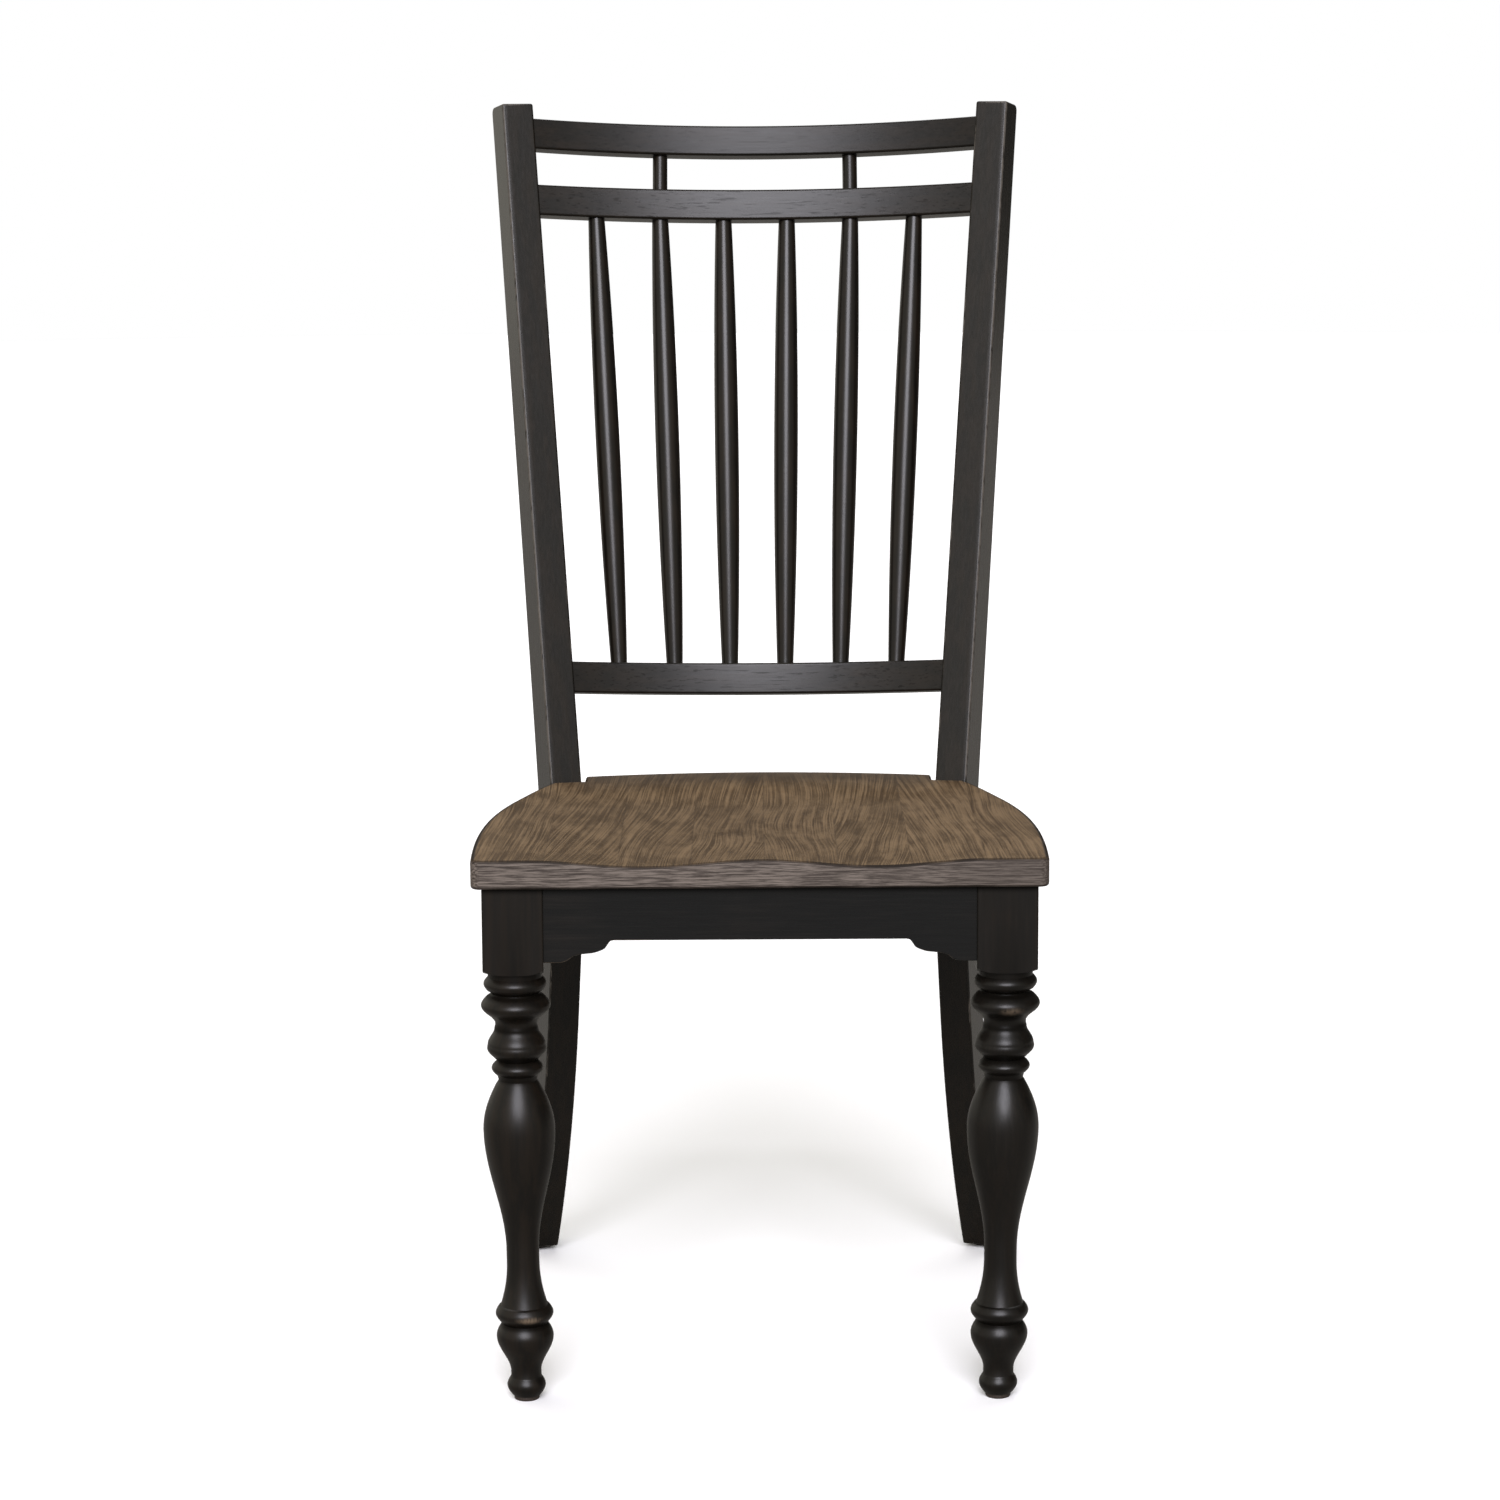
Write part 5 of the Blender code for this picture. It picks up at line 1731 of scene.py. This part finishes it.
@dataclass
class SeatBoard:
    """The saddled seat, notched round the posts."""

    widest_depth: float = 0.080
    front_sweep: float = 1.750
    side_curve_share: float = 0.54
    depth_at_posts: float = 0.386
    rear_bow: float = 0.020
    tongue_gap: float = 0.0025
    tongue_corner: float = 0.003
    into_post: float = 0.0005
    corner_radius: float = 0.008
    corner_glaze: float = 0.6
    edge_radius: float = 0.0028
    saddle_half_width: float = 0.190
    thigh_dip: float = 0.0054
    dish_dip: float = 0.0080
    dish_start: float = 0.030
    dish_full: float = 0.210
    dish_fade: float = 0.280
    dish_end: float = 0.360
    rim_rise: float = 0.0020
    upper_range: Range = (0.3, 0.95)
    side_limit: float = 0.5
    grid_pitch: float = 0.006
    edge_steps: int = 4
    corner_steps: int = 8
    side_steps: int = 48
    tongue_steps: int = 5
    fitting_rounds: int = 12
    finish: SeatStain = SeatStain()
    posts: RearPosts = field(default_factory=RearPosts)

    def half_width(self, depth: float) -> float:
        """Find the seat's half width, its front corners left square.

        Args:
            depth: The distance behind its front edge.

        Returns:
            The half width.
        """
        reach = depth - self.widest_depth
        if reach > 0:
            corner = PLAN.post_point(Side.RIGHT, 0.0, PLAN.seat_height, PLAN.post_width)
            share = reach / (corner.y - PLAN.front_y - self.widest_depth)
            curve = self.side_curve_share * share**2 + (1 - self.side_curve_share) * share**3
            return PLAN.seat_half_width - (PLAN.seat_half_width - corner.x) * curve
        return PLAN.seat_half_width - (self.front_sweep - math.sqrt(self.front_sweep**2 - reach**2))

    def notch_depth(self, x: float) -> float:
        """How far behind the seat's front edge a notch ends, just inside the post's front."""
        return PLAN.post_setback + self.into_post - (x - PLAN.post_half_gap) * math.tan(PLAN.post_turn)

    def rear_edge(self, x: float) -> float:
        """How far behind the seat's front edge the bowed edge of the tongue lies."""
        return self.depth_at_posts + self.rear_bow * (1 - (x / PLAN.post_half_gap) ** 2)

    def surface(self, x: float, depth: float) -> float:
        """Find how far the saddled top lies from the seat's height.

        Args:
            x: The distance from the middle.
            depth: The distance behind the front edge.

        Returns:
            The distance up, or down where it is negative.
        """
        thighs = dish = 0.0
        if abs(x) < self.saddle_half_width:
            share = abs(x) / self.saddle_half_width
            thighs = self.thigh_dip * math.sin(math.pi * share) ** 2
            dish = self.dish_dip * math.cos(math.pi * share / 2) ** 2
        blend = smooth_step(depth, self.dish_start, self.dish_full)
        fade = 1 - smooth_step(depth, self.dish_fade, self.dish_end)
        return self.rim_rise * (1 - fade) - (thighs * (1 - blend) + dish * blend) * fade

    def half_outline(self) -> list[Vector]:
        """Trace the right half of the seat's plan, from the front round to the tongue.

        Returns:
            Points of distance from the middle and behind the front edge.
        """
        radius, steps = self.corner_radius, self.side_steps
        half = []
        for i in range(self.corner_steps + 1):
            angle = math.pi / 2 * i / self.corner_steps
            depth = radius * (1 - math.cos(angle))
            half.append(Vector((self.half_width(depth) - radius * (1 - math.sin(angle)), depth)))
        shoulder = PLAN.post_setback
        for _ in range(self.fitting_rounds):
            shoulder = self.notch_depth(self.half_width(shoulder))
        for i in range(1, steps + 1):
            depth = radius + (shoulder - radius) * i / steps
            half.append(Vector((self.half_width(depth), depth)))
        tongue = PLAN.post_half_gap - self.tongue_gap
        half += [Vector((x, self.notch_depth(x))) for x in (PLAN.post_half_gap, tongue)]
        rears = [Vector((x, self.rear_edge(x))) for x in (tongue * (1 - i / steps) for i in range(steps))]
        corner = filleted(half[-1], rears[0], rears[1], self.tongue_corner, self.tongue_steps)
        return [*half, *corner, *rears[1:]]

    def outline(self) -> list[Vector]:
        """Trace the seat's plan at the height of its underside.

        Returns:
            The closed outline, from the right front corner round by the rear.
        """
        right = [Vector((p.x, PLAN.front_y + p.y, PLAN.frame_top)) for p in self.half_outline()]
        left = [Vector((-p.x, p.y, p.z)) for p in reversed(right)]
        return [*right, Vector((0, PLAN.front_y + self.rear_edge(0.0), PLAN.frame_top)), *left]

    @staticmethod
    def shows(edge: bmesh.types.BMEdge) -> bool:
        """Tell whether an edge lies along the rim, and not under a post.

        Args:
            edge: The edge.

        Returns:
            Whether it shows.
        """
        first, second = (vert.co for vert in edge.verts)
        beside_post = min(abs(first.x), abs(second.x)) > PLAN.post_half_gap - PLAN.lap
        runs_across = abs(abs(first.x) - abs(second.x)) > PLAN.post_width / 2
        return abs(first.z - second.z) < PLAN.lap and not (beside_post and runs_across)

    def saddled(self, point: Vector) -> Vector:
        """Lower a point of the top to the saddled surface.

        Args:
            point: The point.

        Returns:
            Its new place, which is the old one under the top.
        """
        if point.z < PLAN.frame_top + PLAN.seat_thickness / 2:
            return point
        return point + AXIS_Z * self.surface(point.x, point.y - PLAN.front_y)

    def rim_at(self, point: Vector) -> float:
        """How far a point lies in from the seat's side."""
        return self.half_width(point.y - PLAN.front_y) - abs(point.x)

    def corner_glaze_at(self, point: Vector) -> float:
        """Find how much glaze gathers near the front corners.

        Args:
            point: The place.

        Returns:
            The amount of glaze.
        """
        corner = Vector((abs(point.x) - PLAN.seat_half_width, point.y - PLAN.front_y))
        fade = smooth_step(corner.length, self.corner_radius / 4, self.corner_radius)
        return self.corner_glaze * (1 - fade)

    def build(self) -> None:
        """Make the seat."""
        blank = Blank.sawn(self.outline(), AXIS_Z * PLAN.seat_thickness)
        blank.ease(self.edge_radius, self.edge_steps, self.shows)
        half = PLAN.seat_half_width
        depth = self.depth_at_posts + self.rear_bow
        front, rear = PLAN.front_y, PLAN.front_y + depth
        blank.slices(AXIS_X, -half, half, round(2 * half / self.grid_pitch))
        blank.slices(AXIS_Y, front, rear, round(depth / self.grid_pitch))
        blank.bend(self.saddled)
        for side in Side:
            blank.combine(self.posts.room(side), Joining.CUT)
        layers = blank.mesh.verts.layers.float
        upper, rim = layers.new(Mark.UPPER.value), layers.new(Mark.RIM.value)
        blank.mesh.normal_update()
        for vert in blank.mesh.verts:
            vert[upper] = smooth_step(vert.normal.z, *self.upper_range)
            vert[rim] = self.rim_at(vert.co)
            if vert.normal.z < self.side_limit:
                vert[blank.edge_layer] = max(vert[blank.edge_layer], self.corner_glaze_at(vert.co))
        blank.finish("seat", self.finish, Grain.CROSSWISE)


@dataclass
class CornerBlocks:
    """The corner blocks and the screws that hold the seat."""

    height: float = 0.030
    front_near: float = 0.056
    front_far: float = 0.088
    rear_near: float = 0.036
    rear_far: float = 0.066
    edge_radius: float = 0.0010
    shank_radius: float = 0.0022
    head_radius: float = 0.0045
    head_height: float = 0.0030
    head_crown_share: float = 0.35
    grip: float = 0.014
    slot_length: float = 0.0052
    slot_width: float = 0.0010
    slot_depth: float = 0.0016
    edge_steps: int = 2
    dome_steps: int = 4
    dome_start: float = math.radians(80)
    round_steps: int = 32
    aprons: Aprons = field(default_factory=Aprons)
    wood: BareWood = BareWood()
    steel: ZincPlate = ZincPlate()

    def outline(self, side: Side, is_front: bool) -> list[Vector]:
        """The plan of a brace across the corner of two aprons, in the row frame.

        Args:
            side: The side of the chair.
            is_front: Whether it is the front corner.

        Returns:
            Its four corners, at the height of its underside.
        """
        start, end = self.aprons.side_ends(side)
        along = (end - start).normalized()
        inward = Vector((-side.value * along.y, side.value * along.x, 0))
        face = start + inward * (self.aprons.thickness / 2)
        if is_front:
            y = PLAN.front_y + PLAN.block_setback + self.aprons.setback + self.aprons.thickness
            near, far, run = self.front_near, self.front_far, along
        else:
            y = PLAN.front_y + self.aprons.rear_depth - self.aprons.rear_thickness / 2
            near, far, run = self.rear_near, self.rear_far, -along
        corner = face + along * ((y - face.y) / along.y)
        corner.z = PLAN.frame_top - self.height
        cross = Vector((-side.value, 0, 0))
        return [corner + cross * near, corner + cross * far, corner + run * far, corner + run * near]

    def screw(self, middle: Vector) -> Blank:
        """Turn a pan head screw with a crossed recess in its head.

        Args:
            middle: Where it goes into the block's underside.

        Returns:
            The blank in its place.
        """
        shank, crown = self.shank_radius, self.head_crown_share
        profile = []
        for i in range(self.dome_steps + 1):
            angle = self.dome_start * (self.dome_steps - i) / self.dome_steps
            radius = self.head_radius * (crown + (1 - crown) * math.cos(angle))
            profile.append((middle.z - self.head_height * math.sin(angle), radius))
        tip = PLAN.frame_top + self.grip
        profile += [(middle.z, shank), (tip - shank, shank), (tip, shank / 2)]
        blank = Blank.turned(profile, self.round_steps)
        place = Matrix.Translation((0, 0, middle.z - self.head_height))
        for length, width in ((self.slot_length, self.slot_width), (self.slot_width, self.slot_length)):
            blank.combine(Blank.board((length, width, 2 * self.slot_depth), place), Joining.CUT)
        return blank.move(Matrix.Translation((middle.x, middle.y, 0)))

    def build(self) -> None:
        """Make four blocks and four screws."""
        for is_front, word in ((True, "front_"), (False, "rear_")):
            for side in Side:
                outline = self.outline(side, is_front)
                block = Blank.sawn(outline, AXIS_Z * self.height).ease(self.edge_radius, self.edge_steps)
                block.finish("corner_block_" + word + side.label, self.wood, Grain.CROSSWISE)
                middle = sum(outline, Vector()) / len(outline)
                self.screw(middle).finish("seat_screw_" + word + side.label, self.steel, Grain.UPRIGHT)


@dataclass
class Glides:
    """The glides under the feet."""

    front_radius: float = 0.0105
    rear_radius: float = 0.0110
    stem_radius: float = 0.0020
    stem_length: float = 0.012
    rounding: float = 0.0010
    rounding_steps: int = 4
    round_steps: int = 40
    finish: GlidePlastic = GlidePlastic()

    def make_one(self, node: str, radius: float) -> None:
        """Turn one glide where its node stands.

        Args:
            node: The node that it stands for.
            radius: The radius of its pad.
        """
        low, high = (Vector(corner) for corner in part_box(node))
        middle = (low + high) / 2
        top, rounding = PLAN.glide_height, self.rounding
        profile = []
        for i in range(self.rounding_steps + 1):
            angle = math.pi / 2 * i / self.rounding_steps
            profile.append((rounding * (1 - math.cos(angle)), radius - rounding * (1 - math.sin(angle))))
        profile += [(top, radius), (top, self.stem_radius), (top + self.stem_length, self.stem_radius)]
        glide = Blank.turned(profile, self.round_steps).move(Matrix.Translation((middle.x, middle.y, 0)))
        glide.finish(node, self.finish, Grain.UPRIGHT)

    def build(self) -> None:
        """Make all four glides."""
        for side in Side:
            self.make_one("glide_front_" + side.label, self.front_radius)
            self.make_one("glide_rear_" + side.label, self.rear_radius)


@dataclass(frozen=True)
class Sun:
    """A broad soft light far away, placed from the front round to the right and up."""

    name: str
    energy: float
    spread_deg: float
    azimuth_deg: float
    elevation_deg: float
    tint: Colour = (1.0, 1.0, 1.0)

    def hang(self) -> None:
        """Hang the light."""
        lamp = bpy.data.lights.new(self.name, "SUN")
        lamp.energy = self.energy
        lamp.angle = math.radians(self.spread_deg)
        lamp.color = self.tint
        item = bpy.data.objects.new(self.name, lamp)
        azimuth, elevation = math.radians(self.azimuth_deg), math.radians(self.elevation_deg)
        level = Vector((math.sin(azimuth), -math.cos(azimuth), 0)) * math.cos(elevation)
        towards = level + AXIS_Z * math.sin(elevation)
        item.rotation_mode = "QUATERNION"
        item.rotation_quaternion = towards.to_track_quat("Z", "Y")
        bpy.context.scene.collection.objects.link(item)


@dataclass
class Studio:
    """A plain pale floor, soft light and the camera."""

    focal_pixels: float = 4009.64
    frame_pixels: float = 1500.0
    sensor: float = 36.0
    camera_place: Triple = (-0.0074, -3.18983, 1.08774)
    camera_pitch: float = math.radians(80.5)
    camera_roll: float = math.radians(-0.32)
    floor_radius: float = 14.0
    floor_steps: int = 96
    floor_colour: Colour = (0.98, 0.98, 0.98)
    floor_bounce: Colour = (0.262, 0.250, 0.225)
    floor_roughness: float = 0.9
    floor_sheen: float = 0.1
    surround: float = 0.05
    surround_colour: Colour = (1.0, 0.955, 0.84)
    seen_colour: Colour = (1.0, 1.0, 1.0)
    left_screen: float = 0.72
    left_reach: Range = (-0.1, -0.7)
    right_screen: float = 0.45
    right_reach: Range = (0.1, 0.7)
    front_reach: Range = (0.0, -0.5)
    suns: tuple[Sun, ...] = (
        Sun("key", 4.1, 36.0, 0.0, 33.5, (0.938, 0.925, 1.0)),
        Sun("fill", 0.5, 70.0, 0.0, 30.0, (1.0, 0.975, 0.93)),
        Sun("top", 1.4, 60.0, 180.0, 65.0),
    )

    def make_floor(self) -> None:
        """Lay the floor, pale to the camera and darker in what it throws back."""
        data = bmesh.new()
        bmesh.ops.create_circle(data, cap_ends=True, segments=self.floor_steps, radius=self.floor_radius)
        mesh = bpy.data.meshes.new("floor")
        data.to_mesh(mesh)
        data.free()
        shader = Shader("pale_floor")
        seen = shader.node("ShaderNodeLightPath", {}).outputs["Is Camera Ray"]
        shader.show("Base Color", shader.blend(seen, self.floor_bounce, self.floor_colour))
        shader.show("Roughness", self.floor_roughness)
        shader.show("Specular IOR Level", self.floor_sheen)
        mesh.materials.append(shader.material)
        floor = bpy.data.objects.new("floor", mesh)
        bpy.context.scene.collection.objects.link(floor)

    def make_world(self) -> None:
        """Surround the set with white, as a light only bright at the left and the front right."""
        world = bpy.data.worlds.new("white_surround")
        world.use_nodes = True
        work = NodeWork(world.node_tree)
        light, output = (work.tree.nodes[name] for name in ("Background", "World Output"))
        coords = work.node("ShaderNodeTexCoord", {}).outputs["Generated"]
        split = work.node("ShaderNodeSeparateXYZ", {0: coords}).outputs
        left = work.remap(split["X"], *self.left_reach, 0.0, self.left_screen)
        right = work.remap(split["X"], *self.right_reach, 0.0, self.right_screen)
        front = work.remap(split["Y"], *self.front_reach)
        strength = work.plus(work.plus(work.times(right, front), left), self.surround)
        work.feed(light.inputs["Color"], Shader.opaque(self.surround_colour))
        work.feed(light.inputs["Strength"], strength)
        seen = work.node("ShaderNodeBackground", {"Color": Shader.opaque(self.seen_colour)})
        to_camera = work.node("ShaderNodeLightPath", {}).outputs["Is Camera Ray"]
        mix = work.node("ShaderNodeMixShader", {0: to_camera, 1: light.outputs[0], 2: seen.outputs[0]})
        work.feed(output.inputs[0], mix.outputs[0])
        bpy.context.scene.world = world

    def make_camera(self) -> None:
        """Stand the camera where the photograph was taken from."""
        data = bpy.data.cameras.new("camera")
        data.sensor_width = self.sensor
        data.lens = self.focal_pixels / self.frame_pixels * self.sensor
        camera = bpy.data.objects.new("camera", data)
        x, y, z = self.camera_place
        turn = Matrix.Rotation(self.camera_pitch, 4, "X") @ Matrix.Rotation(self.camera_roll, 4, "Z")
        camera.location = (x, PLAN.front_y + y, z)
        camera.rotation_euler = turn.to_euler()
        bpy.context.scene.collection.objects.link(camera)
        bpy.context.scene.camera = camera

    def build(self) -> None:
        """Set the studio up."""
        self.make_floor()
        self.make_world()
        for sun in self.suns:
            sun.hang()
        self.make_camera()
        bpy.context.scene.view_settings.view_transform = "Standard"
        bpy.context.scene.view_settings.look = "None"


def main() -> None:
    """Build the chair and its studio."""
    logging.basicConfig(level=logging.INFO, format="%(name)s: %(message)s")
    assemblies = (
        RearPosts(), Back(), FrontLegs(), Aprons(), SeatBoard(), CornerBlocks(), Glides(), Studio(),
    )
    for assembly in assemblies:
        assembly.build()
        LOG.info("%s done", type(assembly).__name__)


if __name__ == "__main__":
    main()
